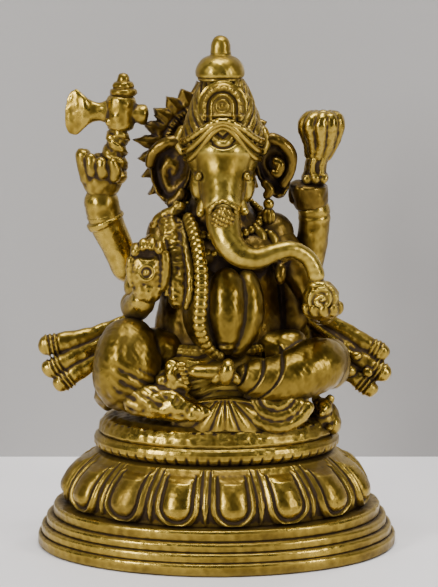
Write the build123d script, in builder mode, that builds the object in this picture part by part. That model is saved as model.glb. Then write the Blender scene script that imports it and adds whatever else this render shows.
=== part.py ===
from build123d import *

import os
from math import cos, pi, sin

# A small cast-brass Ganesha seated on an oval lotus pedestal, in millimetres.
#
# +X is to the viewer's right, +Y runs towards the back and +Z is up. The origin is the middle of
# the oval foot on the surface that it stands on. Right and left name the figure's own sides, so
# its right side is at -X. The pieces are those a founder models and joins: each one is coped to
# the pieces made before it, and meets them face to face.

# --- Pedestal: half-widths across the oval, heights of the tiers ------------------------------
foot_half_width = 35.0
foot_half_depth = 26.0
foot_tier_heights = (2.4, 1.8, 1.8, 2.2)
foot_tier_setbacks = (0.0, 0.8, 1.8, 3.2)
foot_edge_radius = 0.5
wall = 3.0

drum_height = 10.6
drum_bottom_half_width = 28.4
drum_bulge_half_width = 29.0
drum_top_half_width = 22.6
petal_count = 15
petal_radius = 4.55
petal_half_thickness = 1.7
petal_first_share = 0.765

band_height = 3.4
band_half_width = 23.9
band_edge_radius = 0.9
cushion_height = 3.8
cushion_half_width = 23.0
cushion_edge_radius = 2.6

# --- Figure: sizes of the main masses ---------------------------------------------------------
hips_height = 12.5
hips_half_width = 18.6
hips_half_depth = 12.4
torso_height = 27.5
chest_half_width = 12.5
chest_half_depth = 7.6
belly_radius = 9.5
neck_radius = 5.0
head_radius = 7.3
cheek_inset = 1.3
cheek_radius = head_radius - cheek_inset
muzzle_radius = 4.3

knee_radius = 6.6
knee_half_height = 8.2
leg_radius = 4.8
foot_radius = 1.9
arm_radius = 3.0
wrist_radius = 2.3
trunk_root_radius = 3.9
trunk_tip_radius = 1.5
sweet_radius = 3.2
ear_radius = 4.1
ear_half_thickness = 1.5

# --- Dress and ornaments ----------------------------------------------------------------------
crown_height = 10.2
crown_inset = 0.4
crown_bottom_half_width = head_radius - crown_inset
crown_top_half_width = 4.0
crown_band_radius = 1.0
knob_radius = 4.6
knob_half_height = 2.7
finial_height = 4.2
finial_radius = 2.05
halo_radius = 11.6
halo_spike = 3.0
halo_spike_count = 24
halo_thickness = 1.6
garland_radius = 1.25
necklace_radius = 0.95
belt_height = 2.4
belt_projection = 1.0
sash_reach = 16.5
fan_half_width = 10.4
fan_height = 5.6
plaque_radius = 3.5
pleat_radius = 2.3
shaft_radius = 1.8
blade_thickness = 1.8
blade_height = 10.0
bud_radius = 4.3

# --- Levels and places that follow from the sizes ---------------------------------------------
oval = foot_half_depth / foot_half_width
foot_height = sum(foot_tier_heights)
drum_top = foot_height + drum_height
band_top = drum_top + band_height
seat = band_top + cushion_height
waist = seat + hips_height
neck = waist + torso_height
shoulder = neck - 6.0
belly_level = waist + belly_radius - 2.4
head_level = neck + head_radius + 3.0
head_spread = head_radius / 7.3
belly_spread = belly_radius / 9.5
crown_level = head_level + 3.4 * head_spread
crown_top = crown_level + crown_height
knob_level = crown_top + knob_half_height - 0.35
finial_level = knob_level + knob_half_height - 0.3

torso_x = 0.5
torso_y = 2.0
belly_x = 0.8
belly_y = torso_y - chest_half_depth + 1.6
belly_front = belly_y - belly_radius
head_x = 1.2
head_y = -2.6
halo_y = head_y + 1.6 + crown_bottom_half_width + 0.1
halo_level = neck + halo_radius - 0.9
shoulder_x = chest_half_width - 1.5
hips_y = torso_y - 1.0
hips_top_half_width = hips_half_width - 4.6
hips_top_half_depth = hips_top_half_width * hips_half_depth / hips_half_width
leg_front = hips_y - hips_half_depth - 2.5

pieces = {}
rooms = {}


def keep(builder, name):
    """Labels a finished piece and lists it, with the room it takes up, for coping and export."""
    builder.part.label = name
    pieces[name] = builder.part
    rooms[name] = builder.part.bounding_box()


def meets(one, other):
    """Tells whether two bounding boxes share any room."""
    gaps = (one.min - other.max, other.min - one.max)
    return not any(value > 0 for gap in gaps for value in (gap.X, gap.Y, gap.Z))


def cope():
    """Cuts every earlier piece out of the one being built, so that they meet face to face."""
    room = BuildPart._get_context(None).part.bounding_box()
    earlier = [piece for name, piece in pieces.items() if meets(room, rooms[name])]
    if earlier:
        add(earlier, mode=Mode.SUBTRACT)


def ball(centre, radius):
    """Adds a ball."""
    add(Pos(centre) * Solid.make_sphere(radius))


def lens(centre, radius, half_thickness, axis=(0, 0, 1)):
    """Adds a disc that swells evenly to its middle: the room that two balls share."""
    ball_radius = (radius**2 + half_thickness**2) / (2 * half_thickness)
    offsets = (half_thickness - ball_radius, ball_radius - half_thickness)
    lower, upper = (Pos(0, 0, offset) * Solid.make_sphere(ball_radius) for offset in offsets)
    add(Plane(centre, z_dir=axis).location * (lower & upper))


def limb(points, radii, slimmer=1.0):
    """Joins balls along a chain of points with straight tapers, slimmer than they are if asked."""
    tapers = []
    for start, end, root, tip in zip(points, points[1:], radii, radii[1:]):
        along = Plane(start, z_dir=Vector(end) - Vector(start))
        length = (Vector(end) - Vector(start)).length
        tapers.append(Solid.make_cone(root * slimmer, tip * slimmer * 0.99, length, along))
    balls = [Pos(point) * Solid.make_sphere(radius) for point, radius in zip(points, radii)]
    add(tapers + balls)


def turned(centre, profile, tilt=(0, 0, 0)):
    """Adds a body turned on a lathe: profile lists (radius, height) pairs from the bottom up."""
    with BuildSketch(Plane.XZ, mode=Mode.PRIVATE) as section:
        with BuildLine():
            Polyline((0, profile[0][1]), *profile, (0, profile[-1][1]), close=True)
        make_face()
    add(Location(centre, tilt) * Solid.revolve(section.sketch.face(), 360, Axis.Z))


def oval_stack(levels, half_widths, centre=(0, 0), ratio=oval, ruled=False):
    """Lofts flat ovals at these levels into one drum, smooth unless ruled."""
    sections = []
    for level, half_width in zip(levels, half_widths):
        with BuildSketch(Plane.XY.offset(level)) as section:
            with Locations(centre):
                Ellipse(half_width, half_width * ratio)
        sections.append(section.sketch.face())
    loft(sections, ruled=ruled)


def from_head(x, y, z):
    """A point given from the middle of the head; it moves out as the head grows."""
    return (head_x + head_spread * x, head_y + head_spread * y, head_level + head_spread * z)


def beside_head(side, x, y, z):
    """A point beside the head, x out from where its side is; side is as for a shoulder."""
    return (head_x + side * (head_radius + x), head_y + y, head_level + head_spread * z)


def from_belly(x, y, z):
    """A point given from the middle of the belly; it moves out as the belly grows."""
    return (belly_x + belly_spread * x, belly_y + belly_spread * y, belly_level + belly_spread * z)


def from_shoulder(side, x, y, z):
    """A point given from a shoulder; side is -1 for the figure's right and 1 for its left."""
    return (torso_x + side * (shoulder_x + x), torso_y + y, shoulder + z)


def from_seat(x, y, z):
    """A point given from the middle of the seat's top; y is measured from the legs' front."""
    return (x, leg_front + y, seat + z)


# --- Pedestal --------------------------------------------------------------------------------
cavity_half_width = drum_top_half_width - wall

with BuildPart() as foot_moulding:
    level = 0.0
    for tier_height, setback in zip(foot_tier_heights, foot_tier_setbacks):
        half_width = foot_half_width - setback
        with BuildSketch(Plane.XY.offset(level)):
            Ellipse(half_width, half_width * oval)
            Ellipse(cavity_half_width, cavity_half_width * oval, mode=Mode.SUBTRACT)
        extrude(amount=tier_height)
        outer_rim = faces().sort_by(Axis.Z)[-1].edges().sort_by(SortBy.LENGTH)[-1]
        fillet(outer_rim, foot_edge_radius)
        level += tier_height
keep(foot_moulding, "foot_moulding")

with BuildPart() as petal_drum:
    oval_stack(
        [foot_height, foot_height + 0.3 * drum_height, foot_height + 0.7 * drum_height, drum_top],
        [drum_bottom_half_width, drum_bulge_half_width, drum_bulge_half_width - 2.4, drum_top_half_width],
    )
    with BuildSketch(Plane.XY.offset(foot_height)):
        Ellipse(cavity_half_width, cavity_half_width * oval)
    extrude(amount=drum_height, mode=Mode.SUBTRACT)
keep(petal_drum, "petal_drum")

with BuildSketch(Plane.XY.offset(foot_height + 0.48 * drum_height)) as petal_ring:
    Ellipse(drum_bulge_half_width - 0.4, (drum_bulge_half_width - 0.4) * oval)
petal_line = petal_ring.sketch.edge()

with BuildPart() as lotus_petals:
    for i in range(petal_count):
        share = (petal_first_share + i / petal_count) % 1.0
        outward = (petal_line % share).cross(Vector(0, 0, 1))
        lens(petal_line @ share, petal_radius, petal_half_thickness, outward)
    cope()
keep(lotus_petals, "lotus_petals")

with BuildPart() as seat_band:
    with BuildSketch(Plane.XY.offset(drum_top)):
        Ellipse(band_half_width, band_half_width * oval)
    extrude(amount=band_height)
    fillet(edges(), band_edge_radius)
    cope()
keep(seat_band, "seat_band")

with BuildPart() as seat_cushion:
    with BuildSketch(Plane.XY.offset(band_top)):
        Ellipse(cushion_half_width, cushion_half_width * oval)
    extrude(amount=cushion_height)
    fillet(faces().sort_by(Axis.Z)[-1].edges(), cushion_edge_radius)
keep(seat_cushion, "seat_cushion")

# --- Body ------------------------------------------------------------------------------------
with BuildPart() as hips:
    oval_stack(
        [seat, seat + 0.35 * hips_height, seat + 0.7 * hips_height, waist],
        [hips_half_width - 2.0, hips_half_width, hips_half_width - 0.6, hips_top_half_width],
        centre=(0, hips_y),
        ratio=hips_half_depth / hips_half_width,
    )
keep(hips, "hips")

with BuildPart() as torso:
    oval_stack(
        [waist, waist + 7.0, waist + 15.0, shoulder, neck - 3.6, neck - 1.2, neck + 4.0],
        [
            chest_half_width + 1.0,
            chest_half_width - 0.6,
            chest_half_width - 0.6,
            chest_half_width,
            chest_half_width - 2.4,
            neck_radius + 1.6,
            neck_radius,
        ],
        centre=(torso_x, torso_y),
        ratio=chest_half_depth / chest_half_width,
        ruled=True,
    )
keep(torso, "torso")

with BuildPart() as belly:
    ball((belly_x, belly_y, belly_level), belly_radius)
    cope()
keep(belly, "belly")

with BuildPart() as waist_belt:
    belt_half_width = max(hips_top_half_width, chest_half_width + 1.0) + belt_projection
    with BuildSketch(Plane.XY.offset(waist - belt_height / 2)):
        with Locations((torso_x, torso_y)):
            Ellipse(belt_half_width, belt_half_width * hips_half_depth / hips_half_width)
    extrude(amount=belt_height)
    fillet(edges(), belt_height / 3)
    cope()
keep(waist_belt, "waist_belt")

# --- Legs ------------------------------------------------------------------------------------
with BuildPart() as right_leg:
    knee_top = from_seat(2.6 - hips_half_width, 8.2, 2.6 + 2 * knee_half_height - knee_radius)
    knee_foot = from_seat(2.0 - hips_half_width, 6.6, 2.0 + knee_radius)
    limb([knee_top, knee_foot], [knee_radius - 0.1, knee_radius])
    cope()
keep(right_leg, "right_leg")

with BuildPart() as right_shin:
    limb(
        [from_seat(-15.0, 4.4, 5.6), from_seat(-9.5, 1.6, 4.4), from_seat(-3.6, 0.2, 3.6)],
        [leg_radius - 1.2, leg_radius - 1.6, leg_radius - 2.2],
    )
    cope()
keep(right_shin, "right_shin")

with BuildPart() as left_leg:
    limb(
        [from_seat(20.6, 9.0, 11.0), from_seat(17.5, 5.6, 10.6), from_seat(11.5, 3.2, 9.4), from_seat(5.0, 1.2, 9.6)],
        [leg_radius + 0.9, leg_radius + 0.6, leg_radius - 0.2, leg_radius - 1.9],
    )
    cope()
keep(left_leg, "left_leg")

with BuildPart() as left_foot:
    limb(
        [from_seat(0.8, -1.0, 10.3), from_seat(-4.8, -1.5, 11.1)],
        [foot_radius + 0.1, foot_radius - 0.2],
    )
    cope()
keep(left_foot, "left_foot")

with BuildPart() as dhoti_folds:
    lens(from_seat(10.6, 1.8, 3.6), 5.6, 3.2, (0, 1, 0))
    cope()
keep(dhoti_folds, "dhoti_folds")

with BuildPart() as skirt_fan:
    with BuildSketch(Plane.XZ.offset(-leg_front - 3.0)):
        with BuildLine():
            hem = Line((3.4 - fan_half_width, seat), (3.4 + fan_half_width, seat))
            ThreePointArc(hem @ 1, (3.4, seat + fan_height), hem @ 0)
        make_face()
    extrude(amount=3.4)
    cope()
keep(skirt_fan, "skirt_fan")

with BuildPart() as sash_knot:
    limb([from_seat(2.0, -2.3, 9.2), from_seat(2.0, -2.3, 11.6)], [1.2, 1.3])
    cope()
keep(sash_knot, "sash_knot")

with BuildPart() as mouse:
    ball(from_seat(20.6, 9.4, -0.4), 3.5)
    ball(from_seat(20.8, 8.0, 2.9), 2.1)
    cope()
keep(mouse, "mouse")

# --- Head and trunk --------------------------------------------------------------------------
with BuildPart() as head:
    ball(from_head(0, 0, 0), head_radius)
    limb([from_head(0, -1.8, -2.4), from_head(0, -3.6, -8.0)], [cheek_radius, muzzle_radius])
    cope()
keep(head, "head")

trunk_line = [
    from_head(0.0, -5.9, -6.4),
    from_head(0.1, -8.2, -10.6),
    from_head(1.0, -10.2, -14.4),
    from_head(3.6, -11.6, -17.3),
    from_head(7.8, -12.0, -17.9),
    from_head(12.0, -11.6, -16.4),
    from_head(15.4, -11.2, -17.3),
    from_head(17.4, -10.9, -20.3),
    from_head(18.2, -10.7, -23.3),
]
trunk_step = (trunk_root_radius - trunk_tip_radius) / 5
with BuildPart() as trunk:
    limb(trunk_line, [max(trunk_root_radius - i * trunk_step, trunk_tip_radius) for i in range(len(trunk_line))])
    cope()
keep(trunk, "trunk")

with BuildPart() as trunk_cap:
    limb([from_head(0.3, -10.1, -8.6), from_head(0.3, -11.0, -10.4)], [1.7, 1.8])
    cope()
keep(trunk_cap, "trunk_cap")

with BuildPart() as tusks:
    for side in (-1, 1):
        limb([from_head(side * 3.4, -5.4, -7.6), from_head(side * 4.2, -8.8, -10.0)], [1.2, 0.5])
    cope()
keep(tusks, "tusks")

with BuildPart() as eyes:
    for side in (-1, 1):
        lens(from_head(side * 4.2, -6.6, -3.7), 1.05, 0.95, (side * 0.6, -1, 0.1))
    cope()
keep(eyes, "eyes")

with BuildPart() as right_ear:
    lens(beside_head(-1, 1.7, 4.0, -2.6), ear_radius, ear_half_thickness, (0.15, -1, 0))
    lens(beside_head(-1, 1.7, 4.0, -7.0), ear_radius - 0.9, ear_half_thickness - 0.1, (0.1, -1, 0))
    cope()
keep(right_ear, "right_ear")

with BuildPart() as left_ear:
    lens(beside_head(1, 2.3, 4.0, -1.6), ear_radius - 0.2, ear_half_thickness, (-0.15, -1, 0))
    lens(beside_head(1, 0.9, 4.0, -6.8), ear_radius - 0.8, ear_half_thickness - 0.1, (-0.1, -1, 0))
    cope()
keep(left_ear, "left_ear")

with BuildPart() as earrings:
    for side in (-1, 1):
        ball((head_x + side * (head_radius + 1.3), head_y + 2.0, neck - 1.3), 1.6)
    cope()
keep(earrings, "earrings")

with BuildPart() as forehead_mark:
    lens(from_head(0.0, -6.6, 3.2), 2.2, 1.0, (0, -1, 0.45))
    cope()
keep(forehead_mark, "forehead_mark")

# --- Crown and halo --------------------------------------------------------------------------
with BuildPart() as crown_cone:
    narrowing = crown_bottom_half_width - crown_top_half_width
    turned(
        (head_x, head_y + 1.6, crown_level),
        [
            (crown_bottom_half_width, 0.0),
            (crown_bottom_half_width - 0.2 * narrowing, 0.35 * crown_height),
            (crown_top_half_width + 0.3 * narrowing, 0.72 * crown_height),
            (crown_top_half_width, crown_height),
        ],
    )
    cope()
keep(crown_cone, "crown_cone")

with BuildPart() as crown_band:
    ring = Solid.make_torus(crown_bottom_half_width, crown_band_radius)
    add(ring.moved(Location((head_x, head_y + 1.0, crown_level + 0.2), (-14, 0, 0))))
    cope()
keep(crown_band, "crown_band")

with BuildPart() as crown_plaque:
    plaque_y = head_y + 1.6 - (crown_bottom_half_width + crown_top_half_width) / 2 - 0.75
    lens((head_x + 0.2, plaque_y, crown_level + 5.6), plaque_radius, 1.6, (0, -1, 0.2))
    cope()
keep(crown_plaque, "crown_plaque")

with BuildPart() as crown_knob:
    half = knob_half_height
    shelf = 0.6 * knob_radius
    turned(
        (head_x - 0.5, head_y + 1.6, knob_level),
        [(shelf, -half), (knob_radius, -0.45 * half), (knob_radius, 0.35 * half), (shelf, half)],
    )
    cope()
keep(crown_knob, "crown_knob")

with BuildPart() as crown_finial:
    turned(
        (head_x - 0.4, head_y + 1.6, finial_level),
        [
            (finial_radius, 0.0),
            (finial_radius, 0.4 * finial_height),
            (0.75 * finial_radius, 0.8 * finial_height),
            (0.2 * finial_radius, finial_height),
        ],
    )
    cope()
keep(crown_finial, "crown_finial")

with BuildPart() as halo:
    rim = []
    for i in range(2 * halo_spike_count):
        reach = halo_radius + (halo_spike if i % 2 else 0.0)
        angle = pi * i / halo_spike_count
        rim.append((reach * cos(angle), reach * sin(angle)))
    halo_plane = Plane((head_x - 3.2, halo_y, halo_level), x_dir=(1, -0.1, 0), z_dir=(-0.1, -1, 0))
    with BuildSketch(halo_plane):
        Polygon(*rim, align=None)
    extrude(amount=-halo_thickness)
    cope()
keep(halo, "halo")

# --- Rear arms: the axe on the right, the lotus bud on the left -------------------------------
right_elbow = from_shoulder(-1, 7.4, 3.0, -8.0)
right_wrist = from_shoulder(-1, 12.2, 2.0, 7.6)
with BuildPart() as rear_right_forearm:
    limb(
        [right_elbow, from_shoulder(-1, 9.4, 2.7, -2.4), from_shoulder(-1, 11.4, 2.3, 2.6), right_wrist],
        [arm_radius - 0.2, arm_radius, arm_radius + 0.1, arm_radius - 0.1],
    )
    cope()
keep(rear_right_forearm, "rear_right_forearm")

with BuildPart() as rear_right_upper_arm:
    limb([from_shoulder(-1, -1.0, 3.4, -1.2), right_elbow], [arm_radius + 0.2, arm_radius - 0.2])
    ball(right_elbow, arm_radius)
    cope()
keep(rear_right_upper_arm, "rear_right_upper_arm")

shaft_bottom = from_shoulder(-1, 8.2, 0.6, 9.4)
shaft_top = from_shoulder(-1, 7.9, 0.6, 21.0)
with BuildPart() as axe_shaft:
    limb(
        [shaft_bottom, from_shoulder(-1, 9.2, 0.6, 15.0), shaft_top],
        [shaft_radius - 0.3, shaft_radius, shaft_radius],
    )
    cope()
keep(axe_shaft, "axe_shaft")

with BuildPart() as axe_head:
    socket_level = shaft_top[2]
    turned(shaft_top, [(shaft_radius + 0.7, 0.0), (shaft_radius + 1.2, 3.4), (shaft_radius + 0.6, 7.0)])
    knob_spot = Vector(shaft_top) + Vector(3.0, 0, 3.1)
    limb([knob_spot, knob_spot + Vector(1.6, 0, 0)], [1.8, 1.9])
    half = blade_height / 2
    blade_plane = Plane(
        (shaft_top[0], shaft_top[1] - blade_thickness / 2, socket_level + 3.1), x_dir=(-1, 0, 0), z_dir=(0, 1, 0)
    )
    with BuildSketch(blade_plane):
        with BuildLine():
            edge = ThreePointArc((8.4, half), (10.7, 0.0), (8.0, -half))
            lower = ThreePointArc(edge @ 1, (5.4, -1.9), (1.5, -1.6))
            back = Line(lower @ 1, (1.5, 1.7))
            ThreePointArc(back @ 1, (5.6, 1.6), edge @ 0)
        make_face()
    extrude(amount=blade_thickness)
    cope()
keep(axe_head, "axe_head")

with BuildPart() as axe_finial:
    turned(
        (shaft_top[0] + 0.3, shaft_top[1], socket_level + 6.8),
        [(shaft_radius + 0.3, 0.0), (shaft_radius, 0.8), (shaft_radius - 0.8, 2.4), (shaft_radius - 1.6, 3.6)],
    )
    cope()
keep(axe_finial, "axe_finial")

with BuildPart() as rear_right_hand:
    limb([from_shoulder(-1, 11.6, 1.3, 9.6), from_shoulder(-1, 11.4, 1.3, 12.8)], [2.9, 2.7])
    limb([from_shoulder(-1, 12.6, 1.4, 12.0), from_shoulder(-1, 13.4, 1.2, 16.6)], [1.9, 1.2])
    cope()
keep(rear_right_hand, "rear_right_hand")

left_elbow = from_shoulder(1, 9.0, 3.0, -7.0)
left_wrist = from_shoulder(1, 6.9, 2.2, 9.0)
with BuildPart() as rear_left_forearm:
    limb(
        [left_elbow, from_shoulder(1, 8.1, 2.8, -2.0), from_shoulder(1, 7.4, 2.5, 3.5), left_wrist],
        [arm_radius - 0.2, arm_radius, arm_radius + 0.2, arm_radius + 0.1],
    )
    cope()
keep(rear_left_forearm, "rear_left_forearm")

with BuildPart() as rear_left_upper_arm:
    limb([from_shoulder(1, -1.0, 3.4, -1.2), left_elbow], [arm_radius + 0.2, arm_radius - 0.2])
    ball(left_elbow, arm_radius)
    cope()
keep(rear_left_upper_arm, "rear_left_upper_arm")

bud_base = from_shoulder(1, 8.2, 1.2, 16.0)
with BuildPart() as rear_left_cuff:
    limb([left_wrist, from_shoulder(1, 6.5, 2.0, 10.6)], [arm_radius + 0.6, arm_radius + 0.5])
    cope()
keep(rear_left_cuff, "rear_left_cuff")

with BuildPart() as rear_left_hand:
    limb(
        [from_shoulder(1, 6.9, 2.0, 10.4), from_shoulder(1, 7.8, 1.6, 13.4), bud_base],
        [wrist_radius + 0.2, wrist_radius, wrist_radius + 0.1],
    )
    cope()
keep(rear_left_hand, "rear_left_hand")

with BuildPart() as lotus_bud:
    turned(
        bud_base,
        [(wrist_radius, 0.0), (bud_radius - 0.9, 3.2), (bud_radius, 5.6), (bud_radius - 1.0, 7.8), (1.2, 8.6)],
        tilt=(4, 6, 0),
    )
    cope()
keep(lotus_bud, "lotus_bud")

with BuildPart() as right_armlet:
    limb([from_shoulder(-1, 11.0, 2.4, 1.4), from_shoulder(-1, 11.5, 2.2, 3.0)], [arm_radius + 0.5, arm_radius + 0.5])
    cope()
keep(right_armlet, "right_armlet")

# --- Front arms: the blessing hand on the right, the sweet held out on the left ---------------
palm_level = shoulder - 5.4
with BuildPart() as front_right_hand:
    palm = (torso_x - shoulder_x - 2.3, torso_y - 10.8, palm_level - 1.8)
    lens(palm, 3.9, 2.3, (0, 1, 0))
    for i in range(4):
        knuckle_x = palm[0] + (i - 1.5) * 1.75
        fingertip = (knuckle_x, palm[1] - 0.6, palm[2] + 6.0 - abs(i - 1.8) * 0.6)
        limb([(knuckle_x, palm[1], palm[2] + 2.2), fingertip], [1.1, 0.95])
    cope()
keep(front_right_hand, "front_right_hand")

front_right_elbow = from_shoulder(-1, 4.6, -3.6, -12.0)
with BuildPart() as front_right_upper_arm:
    limb([from_shoulder(-1, -1.0, -1.4, 0.0), front_right_elbow], [arm_radius + 0.4, arm_radius - 0.2])
    cope()
keep(front_right_upper_arm, "front_right_upper_arm")

with BuildPart() as front_right_forearm:
    ball(front_right_elbow, arm_radius)
    limb([front_right_elbow, from_shoulder(-1, 2.7, -9.4, -10.4)], [arm_radius - 0.1, wrist_radius])
    cope()
keep(front_right_forearm, "front_right_forearm")

sweet_spot = from_head(19.2, -10.4, -25.8)
with BuildPart() as sweet:
    ball(sweet_spot, sweet_radius)
    cope()
keep(sweet, "sweet")

with BuildPart() as front_left_hand:
    lens((sweet_spot[0], sweet_spot[1] + 1.4, sweet_spot[2] - sweet_radius + 0.2), 3.8, 2.0)
    cope()
keep(front_left_hand, "front_left_hand")

front_left_elbow = from_shoulder(1, 8.4, -2.6, -13.4)
with BuildPart() as front_left_upper_arm:
    limb([from_shoulder(1, -1.0, -1.4, 0.0), front_left_elbow], [arm_radius + 0.4, arm_radius - 0.2])
    cope()
keep(front_left_upper_arm, "front_left_upper_arm")

with BuildPart() as front_left_forearm:
    ball(front_left_elbow, arm_radius)
    wrist = (sweet_spot[0], sweet_spot[1] + 4.6, sweet_spot[2] - sweet_radius + 0.2)
    limb([front_left_elbow, wrist], [arm_radius - 0.1, wrist_radius])
    cope()
keep(front_left_forearm, "front_left_forearm")

# --- Dress: garland, scarf, necklace and the two flying sash ends -----------------------------
with BuildPart() as garland:
    limb(
        [
            (torso_x - 5.4, torso_y - 6.0, neck - 1.6),
            (torso_x - 4.8, belly_front + 5.6, neck - 6.0),
            from_belly(-3.6, -7.1, 8.6),
            from_belly(-3.4, -8.6, 4.0),
            from_belly(-3.5, -9.1, -1.0),
            from_belly(-2.6, -7.9, -5.6),
            (belly_x + 0.4, hips_y - hips_top_half_depth - 1.77, waist - 0.9),
        ],
        [garland_radius] * 7,
        slimmer=0.96,
    )
    cope()
keep(garland, "garland")

with BuildPart() as shoulder_scarf:
    scarf_top = neck - 2.4
    scarf_step = (scarf_top - (belly_level + 3.3)) / 3
    limb(
        [
            (torso_x - 7.4, torso_y - 4.6, scarf_top),
            (torso_x - 8.6, torso_y - 7.0, scarf_top - scarf_step),
            (torso_x - 8.8, torso_y - 8.2, scarf_top - 2 * scarf_step),
            (torso_x - 8.4, torso_y - 8.6, scarf_top - 3 * scarf_step),
        ],
        [2.0, 2.3, 2.5, 2.2],
    )
    cope()
keep(shoulder_scarf, "shoulder_scarf")

with BuildPart() as necklace:
    ring = Solid.make_torus(neck_radius + 2.6, necklace_radius)
    add(ring.moved(Location((torso_x + 0.4, torso_y - 1.6, neck - 1.9), (24, 0, 0))))
    cope()
keep(necklace, "necklace")


def sash_end(side, tips):
    """Three pleats that fan out sideways from one gathered root behind the hip."""
    root = (side * (hips_half_width - 2.6), torso_y + 2.6, waist + 3.4)
    for i, (reach, drop) in enumerate(tips):
        start = (root[0], root[1] - 0.4 * i, root[2] - 2.1 * i)
        tip = (side * (hips_half_width + reach), root[1] - 1.0 - 0.4 * i, root[2] - drop)
        middle = tuple((a + b) / 2 for a, b in zip(start, tip))
        limb([start, middle, tip], [pleat_radius - 0.7, pleat_radius - 0.3, pleat_radius])


with BuildPart() as right_sash_end:
    sash_end(-1, [(sash_reach - 2.4, 3.8), (sash_reach - 3.0, 8.2), (sash_reach - 5.6, 11.0)])
    cope()
keep(right_sash_end, "right_sash_end")

with BuildPart() as left_sash_end:
    sash_end(1, [(sash_reach - 4.0, 4.6), (sash_reach - 3.4, 8.4), (sash_reach - 6.4, 12.2)])
    cope()
keep(left_sash_end, "left_sash_end")

os.makedirs("parts", exist_ok=True)
for name, piece in pieces.items():
    export_step(piece, f"parts/{name}.step")
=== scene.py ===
import math

import bmesh
import bpy
import numpy as np
from mathutils import Matrix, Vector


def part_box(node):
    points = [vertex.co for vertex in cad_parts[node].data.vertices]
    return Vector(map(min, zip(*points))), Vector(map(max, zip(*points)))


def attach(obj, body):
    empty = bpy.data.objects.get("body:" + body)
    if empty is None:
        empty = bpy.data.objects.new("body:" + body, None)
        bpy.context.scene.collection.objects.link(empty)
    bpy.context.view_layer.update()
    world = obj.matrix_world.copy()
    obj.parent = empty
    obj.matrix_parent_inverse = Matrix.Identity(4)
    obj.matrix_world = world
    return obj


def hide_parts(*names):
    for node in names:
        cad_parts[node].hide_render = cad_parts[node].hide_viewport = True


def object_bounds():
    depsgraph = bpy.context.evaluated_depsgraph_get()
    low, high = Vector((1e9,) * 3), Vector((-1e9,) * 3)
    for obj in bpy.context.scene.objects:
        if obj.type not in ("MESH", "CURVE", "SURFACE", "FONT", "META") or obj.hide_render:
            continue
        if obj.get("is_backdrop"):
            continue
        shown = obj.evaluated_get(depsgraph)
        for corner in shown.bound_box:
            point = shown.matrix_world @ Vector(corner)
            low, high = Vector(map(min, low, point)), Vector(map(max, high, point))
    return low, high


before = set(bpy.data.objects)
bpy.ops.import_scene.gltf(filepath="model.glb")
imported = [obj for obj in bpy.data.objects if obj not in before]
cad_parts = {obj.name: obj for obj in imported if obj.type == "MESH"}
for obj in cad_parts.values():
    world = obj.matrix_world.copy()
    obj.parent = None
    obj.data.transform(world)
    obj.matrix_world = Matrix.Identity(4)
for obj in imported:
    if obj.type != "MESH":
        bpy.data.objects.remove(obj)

cadLow, cadHigh = (np.array(corner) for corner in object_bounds())
print("frame loaded:", len(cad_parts), "nodes")

millimetre = 0.001
footSpot = np.array([cadLow[0] + cadHigh[0], cadLow[1] + cadHigh[1], 2 * cadLow[2]]) * 500


def boxOf(node):
    # middle and half-size of a CAD node, in millimetres from the middle of the foot
    low, high = (np.array(corner) * 1000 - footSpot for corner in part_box(node))
    return (low + high) / 2, (high - low) / 2


def unit(vectors):
    # each vector divided by its length
    return vectors / np.maximum(np.linalg.norm(vectors, axis=-1, keepdims=True), 1e-9)


def smoothLine(points, rows, gather=0.0):
    # a cubic through every point, whose slope there is half the step between its neighbours;
    # gather crowds the rows towards both ends
    p = np.asarray(points, float)
    p = np.vstack([2 * p[0] - p[1], p, 2 * p[-1] - p[-2]])
    s = np.linspace(0, 1, rows)
    u = (s - gather * np.sin(2 * np.pi * s) / (2 * np.pi)) * (len(p) - 3 - 1e-9)
    i = u.astype(int)
    t = (u - i)[:, None]
    a, b, c, d = p[i], p[i + 1], p[i + 2], p[i + 3]
    return 0.5 * (2 * b + (c - a) * t + (2 * a - 5 * b + 4 * c - d) * t**2 + (3 * b - a - 3 * c + d) * t**3)


def tube(path, rows=48, sides=28, side=(0, 1, 0), blunt=(1.0, 1.0), relief=None):
    # a path of (x, y, z, half-width[, half-depth]); round a ring at each row, the surface is the path's
    # point plus cosine times width across plus sine times depth, and it closes like a ball at both ends
    line = smoothLine(path, rows, 0.75)
    centre, wide = line[:, :3], line[:, 3]
    deep = line[:, 4] if line.shape[1] > 4 else wide
    along = unit(np.gradient(centre, axis=0))
    across = unit(np.cross(np.asarray(side, float), along))
    up = np.cross(along, across)
    steps = np.linalg.norm(np.diff(centre, axis=0), axis=1)
    length = np.concatenate([[0], np.cumsum(steps)])
    near = np.clip(length / (wide * blunt[0] + 1e-6), 0, 1)
    far = np.clip((length[-1] - length) / (wide * blunt[1] + 1e-6), 0, 1)
    closing = np.sqrt(1 - (1 - near) ** 2) * np.sqrt(1 - (1 - far) ** 2)
    angle = np.linspace(0, 2 * np.pi, sides, endpoint=False)[None, :, None]
    ring = np.cos(angle) * across[:, None] * wide[:, None, None] + np.sin(angle) * up[:, None] * deep[:,
        None, None]
    ring = ring * closing[:, None, None]
    if relief is not None:
        ring = ring * (1 + relief(length[:, None, None], angle))
    return centre[:, None] + ring


def blob(centre, radii, turn=(0, 0, 0), rows=30, sides=40, relief=None):
    # an ellipsoid: sine of latitude times cosine and sine of longitude, times the three half-sizes
    latitude = np.linspace(0, np.pi, rows)[:, None, None]
    longitude = np.linspace(0, 2 * np.pi, sides, endpoint=False)[None, :, None]
    shape = np.concatenate(
        [np.sin(latitude) * np.cos(longitude), np.sin(latitude) * np.sin(longitude),
            np.cos(latitude) + 0 * longitude],
        axis=2,
    )
    if relief is not None:
        shape = shape * (1 + relief(latitude, longitude))
    return shape * np.asarray(radii, float) @ turned(turn).T + np.asarray(centre, float)


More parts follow.
